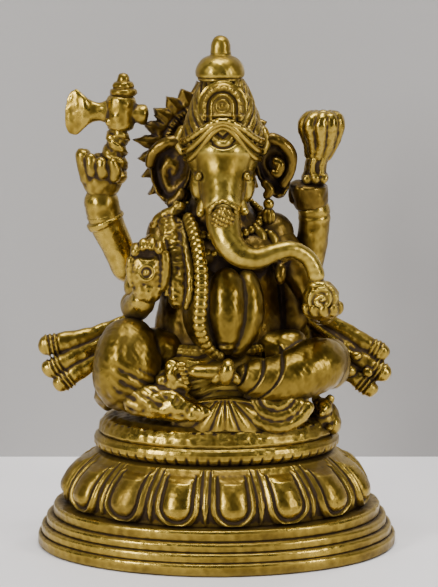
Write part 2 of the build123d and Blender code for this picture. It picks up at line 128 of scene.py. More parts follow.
def turned(degrees):
    # the product of three turns, about X, then Y, then Z
    x, y, z = np.radians(degrees)
    aboutX = np.array([[1, 0, 0], [0, np.cos(x), -np.sin(x)], [0, np.sin(x), np.cos(x)]])
    aboutY = np.array([[np.cos(y), 0, np.sin(y)], [0, 1, 0], [-np.sin(y), 0, np.cos(y)]])
    aboutZ = np.array([[np.cos(z), -np.sin(z), 0], [np.sin(z), np.cos(z), 0], [0, 0, 1]])
    return aboutZ @ aboutY @ aboutX


def ovalWall(profile, columns, ratio=1.0, centre=(0, 0), relief=None, step=0.2):
    # a profile of (half-width, height) carried round an oval: x is width times cosine, y is width
    # times ratio times sine; relief pushes each point outwards by millimetres
    p = np.asarray(profile, float)
    length = np.concatenate([[0], np.cumsum(np.linalg.norm(np.diff(p, axis=0), axis=1))])
    rows = int(length[-1] / step) + 2
    s = np.union1d(np.linspace(0, length[-1], rows), length)
    width, height = np.interp(s, length, p[:, 0]), np.interp(s, length, p[:, 1])
    angle = np.linspace(0, 2 * np.pi, columns, endpoint=False)[None, :]
    width, height = width[:, None], height[:, None] + 0 * angle
    out = relief(angle, height, width) if relief is not None else 0.0
    x = (width + out) * np.cos(angle) + centre[0]
    y = (width * ratio + out) * np.sin(angle) + centre[1]
    return np.stack([x, y, height], axis=2)


def smoothStep(low, high, value):
    # a cubic ease from 0 at low to 1 at high
    t = np.clip((value - low) / (high - low), 0, 1)
    return t * t * (3 - 2 * t)


def hill(value, middle, width):
    # the bell curve, one at middle
    return np.exp(-(((value - middle) / width) ** 2))


def waves(points, size, seed=0):
    # a sum of nine sine waves in scattered directions, about -1 to 1, as smooth as its size
    draw = np.random.default_rng(seed)
    directions = unit(draw.normal(size=(9, 3))) * 2 * np.pi / size * draw.uniform(0.6, 1.6, (9, 1))
    return np.sin(points @ directions.T + draw.uniform(0, 6.28, 9)).sum(axis=-1) / 4.5


def meshOf(name, grids, joinRows=False):
    # each grid closes round its second direction; quads join neighbours, and ends that shrink to a point merge
    vertices, quads, start = [], [], 0
    for grid in grids:
        rows, columns = grid.shape[:2]
        index = np.arange(rows * columns).reshape(rows, columns) + start
        first = index if joinRows else index[:-1]
        second = np.roll(index, -1, axis=0) if joinRows else index[1:]
        quads.append(np.stack([first, np.roll(first, -1, 1), np.roll(second, -1, 1), second], 2).reshape(-1,
            4))
        vertices.append(grid.reshape(-1, 3))
        start += rows * columns
    vertices = (np.concatenate(vertices) + footSpot) * millimetre
    quads = np.concatenate(quads)
    mesh = bpy.data.meshes.new(name)
    mesh.vertices.add(len(vertices))
    mesh.vertices.foreach_set("co", vertices.ravel())
    mesh.loops.add(quads.size)
    mesh.loops.foreach_set("vertex_index", quads.ravel())
    mesh.polygons.add(len(quads))
    mesh.polygons.foreach_set("loop_start", np.arange(0, quads.size, 4))
    mesh.update(calc_edges=True)
    mesh.validate()
    work = bmesh.new()
    work.from_mesh(mesh)
    bmesh.ops.remove_doubles(work, verts=work.verts, dist=2e-6)
    bmesh.ops.dissolve_degenerate(work, edges=work.edges, dist=1e-7)
    bmesh.ops.recalc_face_normals(work, faces=work.faces)
    work.to_mesh(mesh)
    work.free()
    return mesh


def readPoints(mesh):
    points, normals = np.empty(len(mesh.vertices) * 3), np.empty(len(mesh.vertices) * 3)
    mesh.vertices.foreach_get("co", points)
    mesh.vertices.foreach_get("normal", normals)
    return points.reshape(-1, 3) * 1000 - footSpot, normals.reshape(-1, 3)


def writePoints(mesh, points):
    mesh.vertices.foreach_set("co", ((points + footSpot) * millimetre).ravel())
    mesh.update()


def evened(mesh, points, times):
    # moves every point halfway to the mean of its neighbours, this many times
    pairs = np.empty(len(mesh.edges) * 2, np.int64)
    mesh.edges.foreach_get("vertices", pairs)
    a, b = pairs[0::2], pairs[1::2]
    count = np.maximum(np.bincount(pairs, minlength=len(points)), 1)[:, None]
    for i in range(times):
        total = np.stack(
            [
                np.bincount(a, points[b, k], len(points)) + np.bincount(b, points[a, k], len(points))
                for k in range(3)
            ],
            axis=1,
        )
        points = 0.5 * points + 0.5 * total / count
    return points


def castPiece(name, grids, metal, nodes, voxel=None, soften=1, relief=None, joinRows=False, skin=0.035):
    # joins the surfaces in one skin by voxels if asked, softens it, pushes it out by relief and a fine
    # unevenness, and stores how far each point stands proud of its surroundings as "proud"
    mesh = meshOf(name, grids, joinRows)
    piece = bpy.data.objects.new(name, mesh)
    bpy.context.scene.collection.objects.link(piece)
    if voxel:
        remesh = piece.modifiers.new("skin", "REMESH")
        remesh.mode = "VOXEL"
        remesh.voxel_size = voxel * millimetre
        remesh.adaptivity = 0.0
        bpy.context.view_layer.update()
        joined = bpy.data.meshes.new_from_object(piece.evaluated_get(bpy.context.evaluated_depsgraph_get()))
        piece.modifiers.clear()
        piece.data = joined
        bpy.data.meshes.remove(mesh)
        mesh = joined
        mesh.name = name
        points, normals = readPoints(mesh)
        writePoints(mesh, evened(mesh, points, soften))
    points, normals = readPoints(mesh)
    push = skin * waves(points, 2.6, 3) + 0.5 * skin * waves(points, 1.1, 5)
    if relief is not None:
        push = push + relief(points, normals)
    points = points + normals * push[:, None]
    writePoints(mesh, points)
    points, normals = readPoints(mesh)
    spread = 34 if voxel else 22
    proud = ((points - evened(mesh, points, spread)) * normals).sum(axis=1)
    mesh.attributes.new("proud", "FLOAT", "POINT").data.foreach_set("value",
        np.clip(0.5 + proud * 1.6, 0, 1))
    mesh.polygons.foreach_set("use_smooth", np.ones(len(mesh.polygons), bool))
    mesh.materials.clear()
    mesh.materials.append(metals[metal][0])
    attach(piece, "root")
    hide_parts(*nodes)
    print("cast", name, len(mesh.polygons), "faces")
    return piece


# Brass: a group of wear, patina and painted shade that every metal here shares

wearShadeLook = {"grain": 900.0, "cloud": 90.0, "hollow": 0.0022}


def makeWearShadeGroup():
    group = bpy.data.node_groups.new("castWearAndShade", "ShaderNodeTree")
    for name, kind, value in (
        ("Bright", "NodeSocketColor", (0.83, 0.68, 0.35, 1)),
        ("Body", "NodeSocketColor", (0.55, 0.41, 0.15, 1)),
        ("TarnishShadeColor", "NodeSocketColor", (0.09, 0.055, 0.02, 1)),
        ("Rubbed", "NodeSocketFloat", 0.5),
        ("ShadeAndPatina", "NodeSocketFloat", 0.6),
    ):
        group.interface.new_socket(name, in_out="INPUT", socket_type=kind).default_value = value
    for name, kind in (("Color", "NodeSocketColor"), ("Roughness", "NodeSocketFloat"),
        ("Height", "NodeSocketFloat"), ("Metallic", "NodeSocketFloat")):
        group.interface.new_socket(name, in_out="OUTPUT", socket_type=kind)
    nodes, links = group.nodes, group.links

    def node(kind, **values):
        made = nodes.new("ShaderNode" + kind)
        for key, value in values.items():
            setattr(made, key, value)
        return made

    def math2(kind, a, b, clamp=False):
        made = node("Math", operation=kind, use_clamp=clamp)
        for i, value in enumerate((a, b)):
            if isinstance(value, bpy.types.NodeSocket):
                links.new(value, made.inputs[i])
            elif value is not None:
                made.inputs[i].default_value = value
        return made.outputs[0]

    def ranged(value, low, high, toLow=0.0, toHigh=1.0):
        made = node("MapRange", interpolation_type="SMOOTHSTEP")
        links.new(value, made.inputs["Value"])
        for key, number in (("From Min", low), ("From Max", high), ("To Min", toLow), ("To Max", toHigh)):
            made.inputs[key].default_value = number
        return made.outputs["Result"]

    def mixed(share, a, b):
        made = node("Mix", data_type="RGBA")
        links.new(share, made.inputs["Factor"])
        links.new(a, made.inputs["A"])
        links.new(b, made.inputs["B"])
        return made.outputs["Result"]

    given = nodes.new("NodeGroupInput").outputs
    result = nodes.new("NodeGroupOutput").inputs
    place = node("TexCoord").outputs["Object"]
    proud = node("Attribute", attribute_name="proud").outputs["Fac"]

    def noise(scale, detail=3.0, roughness=0.55):
        made = node("TexNoise")
        links.new(place, made.inputs["Vector"])
        made.inputs["Scale"].default_value = scale
        made.inputs["Detail"].default_value = detail
        made.inputs["Roughness"].default_value = roughness
        return made.outputs["Fac"]

    cloud, grain, pits = noise(wearShadeLook["cloud"]), noise(wearShadeLook["grain"], 4.0), noise(2600.0, 2.0)
    # an ambient-occlusion node darkens creases and the gaps between parts: painted shade, which joins the real
    # patina of low places below
    hollow = node("AmbientOcclusion", samples=6)
    hollow.inputs["Distance"].default_value = wearShadeLook["hollow"]
    shade = math2("SUBTRACT", 1.0, hollow.outputs["AO"])
    low = ranged(proud, 0.50, 0.36)
    deep = math2("ADD", math2("MULTIPLY", low, 0.75), math2("MULTIPLY", shade, 0.95))
    # the darkening towards the tarnish colour: real patina in low places and in clouds, plus painted shade
    # from the occlusion
    shadeAndPatina = math2("MULTIPLY", math2("ADD", deep, math2("MULTIPLY", ranged(cloud, 0.42, 0.78), 0.22)),
        given["ShadeAndPatina"])
    shadeAndPatina = math2("MULTIPLY", shadeAndPatina, ranged(grain, 0.2, 0.62, 0.8, 1.08), True)
    high = math2("MULTIPLY", ranged(proud, 0.50, 0.62), ranged(grain, 0.25, 0.6, 0.6, 1.0))
    rub = math2("ADD", math2("MULTIPLY", high, 0.8), math2("MULTIPLY", ranged(cloud, 0.62, 0.36), 0.45))
    rub = math2("MULTIPLY", rub, given["Rubbed"], True)
    color = mixed(rub, given["Body"], given["Bright"])
    color = mixed(shadeAndPatina, color, given["TarnishShadeColor"])
    links.new(color, result["Color"])
    rough = math2("ADD", ranged(grain, 0.3, 0.7, 0.30, 0.38), math2("MULTIPLY", shadeAndPatina, 0.34))
    rough = math2("SUBTRACT", rough, math2("MULTIPLY", rub, 0.1), True)
    links.new(rough, result["Roughness"])
    links.new(math2("SUBTRACT", 1.0, math2("MULTIPLY", shadeAndPatina, 0.35)), result["Metallic"])
    links.new(math2("ADD", math2("MULTIPLY", grain, 0.7), math2("MULTIPLY", pits, 0.3)), result["Height"])
    return group


def makeBrass(name, wearShade, rubbed, shadeAndPatina, bright, body, tarnishShadeColor, bump):
    material = bpy.data.materials.new(name)
    material.use_nodes = True
    nodes, links = material.node_tree.nodes, material.node_tree.links
    shader = nodes["Principled BSDF"]
    group = nodes.new("ShaderNodeGroup")
    group.node_tree = wearShade
    for key, value in (("Bright", bright), ("Body", body), ("TarnishShadeColor", tarnishShadeColor)):
        group.inputs[key].default_value = (*value, 1)
    group.inputs["Rubbed"].default_value = rubbed
    group.inputs["ShadeAndPatina"].default_value = shadeAndPatina
    relief = nodes.new("ShaderNodeBump")
    relief.inputs["Strength"].default_value = bump
    relief.inputs["Distance"].default_value = 0.00012
    links.new(group.outputs["Color"], shader.inputs["Base Color"])
    links.new(group.outputs["Roughness"], shader.inputs["Roughness"])
    links.new(group.outputs["Metallic"], shader.inputs["Metallic"])
    links.new(group.outputs["Height"], relief.inputs["Height"])
    links.new(relief.outputs["Normal"], shader.inputs["Normal"])
    return material


wearShadeGroup = makeWearShadeGroup()
brassLook = {
    "chased": dict(rubbed=0.75, shadeAndPatina=1.25, bright=(0.44, 0.305, 0.052), body=(0.175, 0.110, 0.014),
        tarnishShadeColor=(0.035, 0.019, 0.006), bump=0.5),
    "polished": dict(rubbed=0.85, shadeAndPatina=0.9, bright=(0.60, 0.44, 0.082), body=(0.25, 0.165, 0.021),
        tarnishShadeColor=(0.045, 0.026, 0.008), bump=0.22),
    # a darker copy of the polished brass: painted shade on the front of the belly and the legs
    "shadedPolished": dict(rubbed=0.35, shadeAndPatina=1.2, bright=(0.40, 0.275, 0.046), body=(0.135, 0.085, 0.011),
        tarnishShadeColor=(0.030, 0.017, 0.005), bump=0.35),
    # a darker copy of the chased brass: painted shade for the torso, ears and front left upper arm, which sit
    # in shadow; the halo and the left cuff use it too
    "shadedDark": dict(rubbed=0.4, shadeAndPatina=1.6, bright=(0.28, 0.185, 0.034), body=(0.105, 0.062, 0.010),
        tarnishShadeColor=(0.022, 0.011, 0.005), bump=0.6),
}
metals = {
    "chased": (makeBrass("chasedBrass", wearShadeGroup, **brassLook["chased"]), "aged_brass"),
    "polished": (makeBrass("polishedBrass", wearShadeGroup, **brassLook["polished"]), "polished_brass"),
    "shadedPolished": (makeBrass("shadedPolishedBrass", wearShadeGroup, **brassLook["shadedPolished"]), "polished_brass"),
    "shadedDark": (makeBrass("shadedDarkBrass", wearShadeGroup, **brassLook["shadedDark"]), "aged_brass"),
}
print("brass ready")

# Pedestal

foot = {"setbacks": (0.0, 0.75, 1.75, 3.1), "tiers": (2.4, 1.8, 1.8, 2.2), "edge": 0.55, "hollow": 19.6}
footHalf = boxOf("foot_moulding")[1]
oval = footHalf[1] / footHalf[0]


def footProfile():
    points, level = [(foot["hollow"], 0.0)], 0.0
    for setback, tier in zip(foot["setbacks"], foot["tiers"]):
        width, edge = footHalf[0] - setback, foot["edge"]
        points += [(width - 0.25, level + 0.02), (width, level + 0.3), (width, level + tier - edge)]
        level += tier
        points += [(width - 0.3 * edge, level - 0.3 * edge), (width - edge, level - 0.02)]
    return points + [(25.0, level), (foot["hollow"], level), (foot["hollow"], 4.0)]


castPiece(
    "footMoulding",
    [ovalWall(footProfile(), 560, oval, step=0.34, relief=lambda angle, z,
        w: 0.05 * np.sin(7 * angle + z) * (w > 25))],
    "chased", ["foot_moulding"], joinRows=True, skin=0.03,
)

lotus = {"petals": 15, "first": 3.2, "boss": 2.75, "turn": 12.6, "hollow": 19.6, "columns": 960}
drumMiddle, drumHalf = boxOf("petal_drum")
drumLow, drumTop = drumMiddle[2] - drumHalf[2], drumMiddle[2] + drumHalf[2]


def aroundOval(angle, width, ratio):
    # distance along the oval from its +X end, by adding up short steps, with the whole way round
    fine = np.linspace(0, 2 * np.pi, 4001)
    speed = np.sqrt((width * np.sin(fine)) ** 2 + (width * ratio * np.cos(fine)) ** 2)
    way = np.concatenate([[0], np.cumsum((speed[1:] + speed[:-1]) / 2 * np.diff(fine))])
    return np.interp(angle, fine, way), way[-1]


def petalRelief(angle, z, width):
    # each petal is a U: a swollen boss, a groove, a raised rim and a lower border; slim leaf tips
    # with a centre vein fill the gaps
    way, wholeWay = aroundOval(angle, drumHalf[0], oval)
    pitch = wholeWay / lotus["petals"]
    frontWay, _ = aroundOval(np.array([1.5 * np.pi]), drumHalf[0], oval)
    across = (way - frontWay - lotus["first"] + pitch / 2) % pitch - pitch / 2
    drop = np.minimum(z - lotus["turn"], 0)
    distance = np.sqrt(across**2 + (drop * 0.88) ** 2) - lotus["boss"]
    flatTop = smoothStep(17.0, 16.2, z)
    inside = np.clip(-distance / lotus["boss"], 0, 1)
    boss = 1.25 * np.sqrt(inside * (2 - inside)) * flatTop
    rim = 0.75 * hill(distance, 0.85, 0.36) * smoothStep(17.9, 17.2, z)
    shelf = 0.55 * hill(z, 16.9, 0.35) * (np.abs(across) < lotus["boss"])
    border = 0.5 * smoothStep(1.75, 1.35, distance) + 0.3 * hill(distance, 1.45, 0.2)
    gap = pitch / 2 - np.abs(across)
    leafWidth = np.clip((z - 8.8) / 8.5, 0, 1) * 1.5
    leaf = 0.55 * np.clip(1 - gap / (leafWidth + 0.05), 0, 1) ** 0.6 + 0.25 * hill(gap, leafWidth, 0.16)
    out = np.maximum(border + boss + rim + shelf, leaf)
    fade = smoothStep(drumLow, drumLow + 0.5, z) * smoothStep(drumTop, drumTop - 0.5, z)
    return out * fade * (width > lotus["hollow"] + 1)


drumProfile = [(lotus["hollow"], drumLow), (28.4, drumLow)] + [tuple(p) for p in smoothLine(
    [(28.4, drumLow), (28.9, drumLow + 3.0), (27.4, drumLow + 6.2), (24.9, drumLow + 8.8), (22.7, drumTop)],
    20)[1:]]
drumProfile += [(lotus["hollow"], drumTop), (lotus["hollow"], drumLow + 5)]


def drumWall():
    # dense rows on the carved outside, few on the inside
    p = np.asarray(drumProfile, float)
    outside = ovalWall(p[1:21], lotus["columns"], oval, step=0.18, relief=petalRelief)
    inner = ovalWall([p[21], p[22], p[0]], lotus["columns"], oval, step=4)
    return np.concatenate([outside, inner])


castPiece("lotusPetals", [drumWall()], "chased", ["petal_drum", "lotus_petals"], joinRows=True, skin=0.03)

seatRing = {"notches": 63, "depth": 0.5}
bandMiddle, bandHalf = boxOf("seat_band")
bandLow, bandTop = bandMiddle[2] - bandHalf[2], bandMiddle[2] + bandHalf[2]


def notchRelief(angle, z, width):
    # a chisel cut, deepest at its foot, every few degrees round the lower half
    way, wholeWay = aroundOval(angle, bandHalf[0], oval)
    part = (way / wholeWay * seatRing["notches"]) % 1.0
    cut = np.clip(1 - np.abs(part - 0.5) / 0.22, 0, 1)
    tilt = smoothStep(bandLow + 2.2, bandLow + 0.7, z)
    return -seatRing["depth"] * cut * tilt * (width > 15) + 0.05 * np.sin(11 * angle) * (width > 15)


def bandWall():
    # dense rows on the notched edge, few on the flat faces that the drum and cushion cover
    edge = [(21.9, bandLow), (22.5, bandLow + 0.25), (bandHalf[0] - 0.35, bandLow + 0.8),
        (bandHalf[0], bandLow + 1.3),
            (bandHalf[0], bandLow + 2.2), (bandHalf[0] - 0.3, bandTop - 0.5), (bandHalf[0] - 0.9, bandTop)]
    under = ovalWall([(0.01, bandLow), (21.5, bandLow)], 720, oval, step=3)
    outside = ovalWall(edge, 720, oval, step=0.2, relief=notchRelief)
    over = ovalWall([(21.5, bandTop), (0.01, bandTop)], 720, oval, step=3)
    return np.concatenate([under, outside, over])


castPiece("seatBand", [bandWall()], "chased", ["seat_band"], skin=0.03)

cushionMiddle, cushionHalf = boxOf("seat_cushion")
seatTop = cushionMiddle[2] + cushionHalf[2]
castPiece(
    "seatCushion",
    [ovalWall([(0.01, bandTop), (22.6, bandTop), (cushionHalf[0], bandTop + 0.6),
        (cushionHalf[0] - 0.3, bandTop + 1.8),
               (cushionHalf[0] - 1.2, seatTop - 0.9), (cushionHalf[0] - 2.8, seatTop - 0.15),
               (17.0, seatTop), (0.01, seatTop)],
              480, oval, step=0.4)],
    "chased", ["seat_cushion"], skin=0.09,
)
print("pedestal done")

# Figure: body, belly and legs, each over its own CAD solid



def backRelief(points, normals):
    # a spine furrow and two shoulder blades on the back, and a soft fold over the hips
    back = smoothStep(0.2, 0.9, normals[:, 1])
    spine = -0.7 * hill(points[:, 0], 0.6, 1.1) * smoothStep(42, 47, points[:, 2])
    blades = 0.9 * (hill(points[:, 0], -5.2, 2.6) + hill(points[:, 0], 6.2, 2.6)) * hill(points[:, 2], 56,
        4.2)
    fold = 0.5 * hill(points[:, 2], 43.2, 1.4) - 0.4 * hill(points[:, 2], 46.0, 0.9)
    return back * (spine + blades + fold)


# the torso takes the darker brass: painted shade in the hollow behind the belly and arms
castPiece(
    "bareTorso",
    [
        tube([(0.5, 2.4, 36.0, 12.0, 8.4), (0.5, 2.2, 42.0, 12.6, 8.6), (0.6, 2.2, 48.0, 11.6, 8.2),
            (0.5, 2.2, 54.0, 11.8, 8.0),
              (0.4, 2.0, 59.5, 12.6, 7.4), (0.5, 1.6, 63.0, 9.4, 6.2), (0.6, 0.8, 66.0, 6.0, 5.4),
              (0.9, -0.6, 70.0, 5.4, 5.2)],
             rows=60, sides=64, blunt=(0.3, 0.3)),
        blob((-9.6, 1.6, 60.4), (4.0, 4.2, 4.2)), blob((10.8, 1.6, 60.6), (4.2, 4.2, 4.2)),
        blob((-4.6, -3.6, 57.6), (5.6, 3.4, 4.0)), blob((5.8, -3.6, 57.6), (5.6, 3.4, 4.0)),
        tube([(10.0, 3.4, 37.0, 3.6), (13.6, 3.8, 42.0, 3.6), (15.2, 3.8, 48.0, 3.2),
            (12.6, 3.0, 56.0, 3.4)]),
    ],
    "shadedDark", ["torso"], voxel=0.33, soften=5, relief=backRelief, skin=0.06,
)


def bellyRelief(points, normals):
    # fine lines beside each crease, and a row of stitches where the lobes meet above the belt
    front = smoothStep(-0.1, -0.6, normals[:, 1])
    low = smoothStep(43.0, 40.5, points[:, 2])
    stitches = 0.22 * np.sin(points[:, 2] * 4.2) * hill(points[:, 0], 1.8, 1.6) * low
    return front * stitches + 0.05 * waves(points, 3.0, 9)


# the belly and legs take the darker copy of the polished brass: painted shade on their fronts
castPiece(
    "lobedBelly",
    [
        blob((1.0, -3.4, 46.0), (7.6, 8.6, 8.6), rows=60, sides=90),
        tube([(1.8, -6.6, 55.0, 2.0, 2.0), (1.9, -9.0, 51.8, 3.3, 3.2), (2.0, -10.2, 47.2, 3.6, 3.7),
            (2.0, -10.6, 43.0, 2.8, 3.0), (1.9, -10.6, 39.2, 1.4, 1.7)], rows=70, sides=60, blunt=(1, 0.6)),
        tube([(5.2, -5.0, 54.4, 1.8, 2.0), (6.1, -6.8, 50.8, 2.6, 3.2), (6.2, -8.0, 46.4, 2.9, 3.7),
            (5.0, -9.2, 42.2, 2.4, 2.9), (3.0, -10.0, 38.8, 1.3, 1.6)], rows=70, sides=50, blunt=(1, 0.6)),
        tube([(-1.6, -5.0, 54.4, 1.8, 2.0), (-2.4, -6.8, 50.8, 2.6, 3.2), (-2.6, -8.0, 46.4, 2.9, 3.7),
            (-1.2, -9.2, 42.2, 2.4, 2.9), (0.8, -10.0, 38.8, 1.3, 1.6)], rows=70, sides=50, blunt=(1, 0.6)),
    ],
    "shadedPolished", ["belly"], voxel=0.2, soften=3, relief=bellyRelief, skin=0.04,
)


def pleatRelief(points, normals):
    # ridges of draped cloth that run round the hips, a millimetre and a half apart
    wrap = np.arctan2(points[:, 1] - 1, points[:, 0])
    line = points[:, 2] + 1.4 * np.sin(wrap * 2) + 0.4 * np.sin(wrap * 9)
    return 0.28 * np.sin(line * 2 * np.pi / 1.9) * (normals[:, 2] < 0.9)


castPiece(
    "drapedHips",
    [tube([(0, 1.0, 25.6, 16.6, 11.0), (0, 1.0, 29.0, 18.6, 12.2), (0, 1.0, 33.0, 18.6, 12.2),
        (0, 1.2, 37.5, 14.6, 10.0), (0.4, 1.6, 40.0, 12.4, 8.6)],
          rows=60, sides=130, blunt=(0.25, 0.3))],
    "chased", ["hips"], relief=pleatRelief, skin=0.1,
)

castPiece(
    "waistBelt",
    [ovalWall([(11.4, 38.0), (12.9, 38.1), (13.7, 38.7), (13.7, 39.4), (12.9, 40.1), (11.4, 40.2)], 260,
        0.68, (0.5, 1.8),
              relief=lambda angle, z, w: 0.22 * np.abs(np.sin(angle * 34)) * (w > 12.5), step=0.25)],
    "chased", ["waist_belt"], joinRows=True,
)


def kneeRelief(points, normals):
    # shallow hammered facets, and gathered cloth at the hem below
    hem = smoothStep(33.5, 30.5, points[:, 2])
    drape = smoothStep(39.5, 36.0, points[:, 2] + 0.35 * (points[:, 0] + 17)) * smoothStep(-20.5, -17.5,
        points[:, 0])
    slant = points[:, 2] + 0.55 * points[:, 0] + 0.02 * (points[:, 0] + 17) ** 2
    pleats = 0.20 * np.sin(slant * 2 * np.pi / 2.3) * drape
    return 0.07 * waves(points, 6.0, 11) + pleats + hem * (0.10 * np.sin(points[:, 0] * 2.2 + points[:,
        2] * 1.6) + 0.16 * waves(points, 2.6, 13))


castPiece(
    "rightLeg",
    [
        tube([(-16.4, -3.0, 29.6, 4.8), (-17.2, -6.4, 32.6, 6.2), (-17.0, -8.0, 36.6, 6.5),
            (-16.2, -7.0, 40.6, 5.9), (-13.6, -4.2, 43.4, 4.0)],
             rows=60, sides=56, side=(0.3, 1, 0)),
        tube([(-15.6, -6.0, 39.6, 4.6), (-11.0, -3.6, 38.8, 4.0), (-6.0, -2.0, 38.0, 3.4)], side=(0, 0, 1)),
        tube([(-20.4, 0.5, 27.6, 2.4), (-20.8, -3.0, 30.2, 2.8), (-19.8, -5.4, 33.4, 3.0)],
            side=(1, 0.2, 0)),
    ],
    "shadedPolished", ["right_leg"], voxel=0.27, soften=4, relief=kneeRelief, skin=0.07,
)


def shinRelief(points, normals):
    # rough twisted cloth: slanting ridges that wander
    slant = points[:, 0] * 0.9 + points[:, 2] * 1.5
    return 0.10 * np.sin(slant * 1.7) + 0.24 * waves(points, 2.4, 21)


castPiece(
    "rightShin",
    [
        tube([(-17.6, -8.4, 31.4, 3.4), (-13.4, -11.2, 30.6, 3.4), (-8.0, -13.2, 29.8, 2.9),
            (-3.4, -14.4, 29.0, 2.2)], side=(0, 0, 1)),
        tube([(-11.6, -9.4, 33.4, 2.4), (-7.6, -11.6, 34.0, 2.4), (-4.8, -12.4, 33.0, 1.8)],
            side=(0, 0, 1)),
        tube([(-8.6, -11.4, 32.0, 1.7), (-8.3, -12.4, 35.6, 1.7), (-8.0, -11.8, 38.6, 1.5)],
            side=(0, 1, 0)),
        blob((-3.8, -14.6, 28.9), (2.9, 1.9, 1.9)),
    ],
    "chased", ["right_shin"], voxel=0.24, soften=3, relief=shinRelief, skin=0.1,
)


def thighRelief(points, normals):
    # three bowed grooves wrap the shin like pleats
    bow = points[:, 0] + 0.10 * (points[:, 2] - 37.5) ** 2 - 0.1 * (points[:, 2] - 35.0)
    grooves = sum(hill(bow, spot, 0.30) for spot in (5.2, 8.6, 12.2))
    return -0.55 * grooves * smoothStep(41.0, 38.5, points[:, 2]) + 0.07 * waves(points, 5.0, 31)


castPiece(
    "leftLeg",
    [
        tube([(21.2, -3.4, 38.0, 4.2), (20.4, -6.6, 37.2, 5.3), (16.4, -9.4, 35.6, 5.2),
            (11.4, -11.4, 34.6, 4.5), (6.4, -12.8, 35.2, 3.5), (3.4, -13.6, 36.2, 2.6)],
             rows=70, sides=56, side=(0, 0, 1)),
        tube([(6.0, -2.0, 38.4, 3.4), (12.0, -2.6, 38.6, 3.8), (18.0, -3.4, 38.6, 4.4)], side=(0, 0, 1)),
        blob((22.0, -3.6, 36.0), (3.9, 4.6, 5.0)),
    ],
    "shadedPolished", ["left_leg"], voxel=0.27, soften=4, relief=thighRelief, skin=0.06,
)

toes = [blob((-6.6 + 0.25 * i, -16.6 + 0.35 * i, 38.6 - 0.95 * i),
    (1.05 - 0.08 * i, 0.8, 0.55)) for i in range(5)]
castPiece(
    "leftFoot",
    [tube([(3.6, -14.0, 36.4, 2.2, 1.9), (0.2, -15.2, 36.7, 1.9, 1.6), (-3.2, -15.8, 37.0, 1.9, 1.4),
        (-5.6, -16.0, 37.2, 1.7, 1.1)], side=(0, 0, 1)), *toes],
    "chased", ["left_foot"], voxel=0.16, soften=2, skin=0.03,
)

# Cloth between the legs: three nested crescents, a fluted fan and a knot

folds = {"middle": (11.4, -12.2, 33.4), "reaches": (7.6, 5.6, 3.6), "thick": (1.25, 1.15, 1.0)}


def crescent(reach, thick):
    # a hanging curve: cosine across and sine down, deeper than it is wide
    turn = np.linspace(0.12, 0.88, 9) * np.pi
    x0, y0, z0 = folds["middle"]
    return [(x0 - 0.9 * reach * math.cos(a), y0 - 1.9 * math.sin(a) + (7.6 - reach) * 0.12,
        z0 - 0.98 * reach * math.sin(a), thick) for a in turn]


castPiece(
    "dhotiFolds",
    [tube(crescent(reach, thick), side=(0, 1, 0)) for reach, thick in zip(folds["reaches"], folds["thick"])]
    + [blob((11.2, -10.6, 30.4), (6.4, 2.6, 4.4))],
    "chased", ["dhoti_folds"], voxel=0.2, soften=3, skin=0.08,
)

fan = {"halfWidth": 10.4, "height": 5.9, "flutes": 15, "front": -15.9, "middle": 1.6, "top": 31.6}


def fanSheet():
    # a low dome whose flutes spread from a point above it: x and z are cosine and sine times reach,
    # and each flute follows the angle seen from that point
    reach = np.concatenate([np.linspace(0.01, 1, 60), np.linspace(0.97, 0.01, 10)])[:, None]
    angle = np.linspace(-0.16, np.pi + 0.16, 230)[None, :]
    lip = np.ones((70, 1))
    lip[60:] = 0
    x = fan["middle"] + fan["halfWidth"] * reach * np.cos(angle)
    z = 25.7 + fan["height"] * reach * np.sin(angle)
    spread = np.arctan2(x - fan["middle"], fan["top"] + 1.2 - z)
    flutes = 0.5 * np.abs(np.sin(spread * fan["flutes"] / 2 * 1.15)) * smoothStep(0.99, 0.8, reach)
    rim = 0.55 * hill(reach, 0.96, 0.04)
    y = fan["front"] + 0.022 * (x - fan["middle"]) ** 2 + 1.9 * reach**2 - lip * (flutes + rim) \
        + (1 - lip) * 2.4
    return np.stack([x, y + 0 * z, z], axis=2)


castPiece("skirtFan", [fanSheet()], "chased", ["skirt_fan"], skin=0.03)
castPiece(
    "sashKnot",
    [tube([(1.9, -15.4, 34.6, 0.9), (1.7, -16.7, 36.2, 1.4), (2.1, -16.9, 37.8, 1.4),
        (2.3, -15.6, 39.2, 0.9)], side=(0, 1, 0)),
     tube([(1.3, -16.2, 37.0, 0.7), (0.2, -16.6, 36.0, 0.9), (-0.8, -16.2, 35.0, 0.7)], side=(0, 1, 0)),
     tube([(2.6, -16.2, 37.0, 0.7), (3.6, -16.2, 35.8, 0.9), (4.2, -15.6, 34.6, 0.7)], side=(0, 1, 0))],
    "chased", ["sash_knot"], voxel=0.15, soften=2, skin=0.04,
)

# Mouse at the figure's left foot, facing forwards

castPiece(
    "crouchedMouse",
    [
        blob((20.8, -3.4, 25.4), (3.0, 3.6, 3.4), (0, 0, -8)),
        blob((20.4, -5.6, 27.8), (1.9, 2.2, 1.9), (18, 0, 0)),
        blob((20.0, -7.3, 27.2), (0.9, 1.2, 0.9)), blob((19.2, -4.9, 29.3), (0.95, 0.5, 1.1)),
        blob((21.8, -4.8, 29.2), (0.95, 0.5, 1.1)),
        blob((22.6, -4.2, 24.4), (1.5, 2.4, 2.2)), blob((19.0, -5.0, 24.2), (1.3, 2.0, 2.0)),
        blob((19.6, -7.0, 24.4), (0.7, 1.0, 0.6)), blob((21.6, -7.0, 24.3), (0.7, 1.0, 0.6)),
        tube([(22.6, -1.4, 24.2, 0.8), (23.4, 0.4, 23.6, 0.6), (22.8, 2.0, 23.4, 0.4)], side=(0, 0, 1)),
    ],
    "chased", ["mouse"], voxel=0.18, soften=3, skin=0.07,
)
print("body, legs and cloth done")

# Head, trunk and ears

headSpot = np.array([1.2, -2.6, 76.3])
face = {"eyeReach": 4.7, "eyeLevel": -3.6, "eyeDepth": 0.35, "markLevel": 4.7, "mark": 2.8}


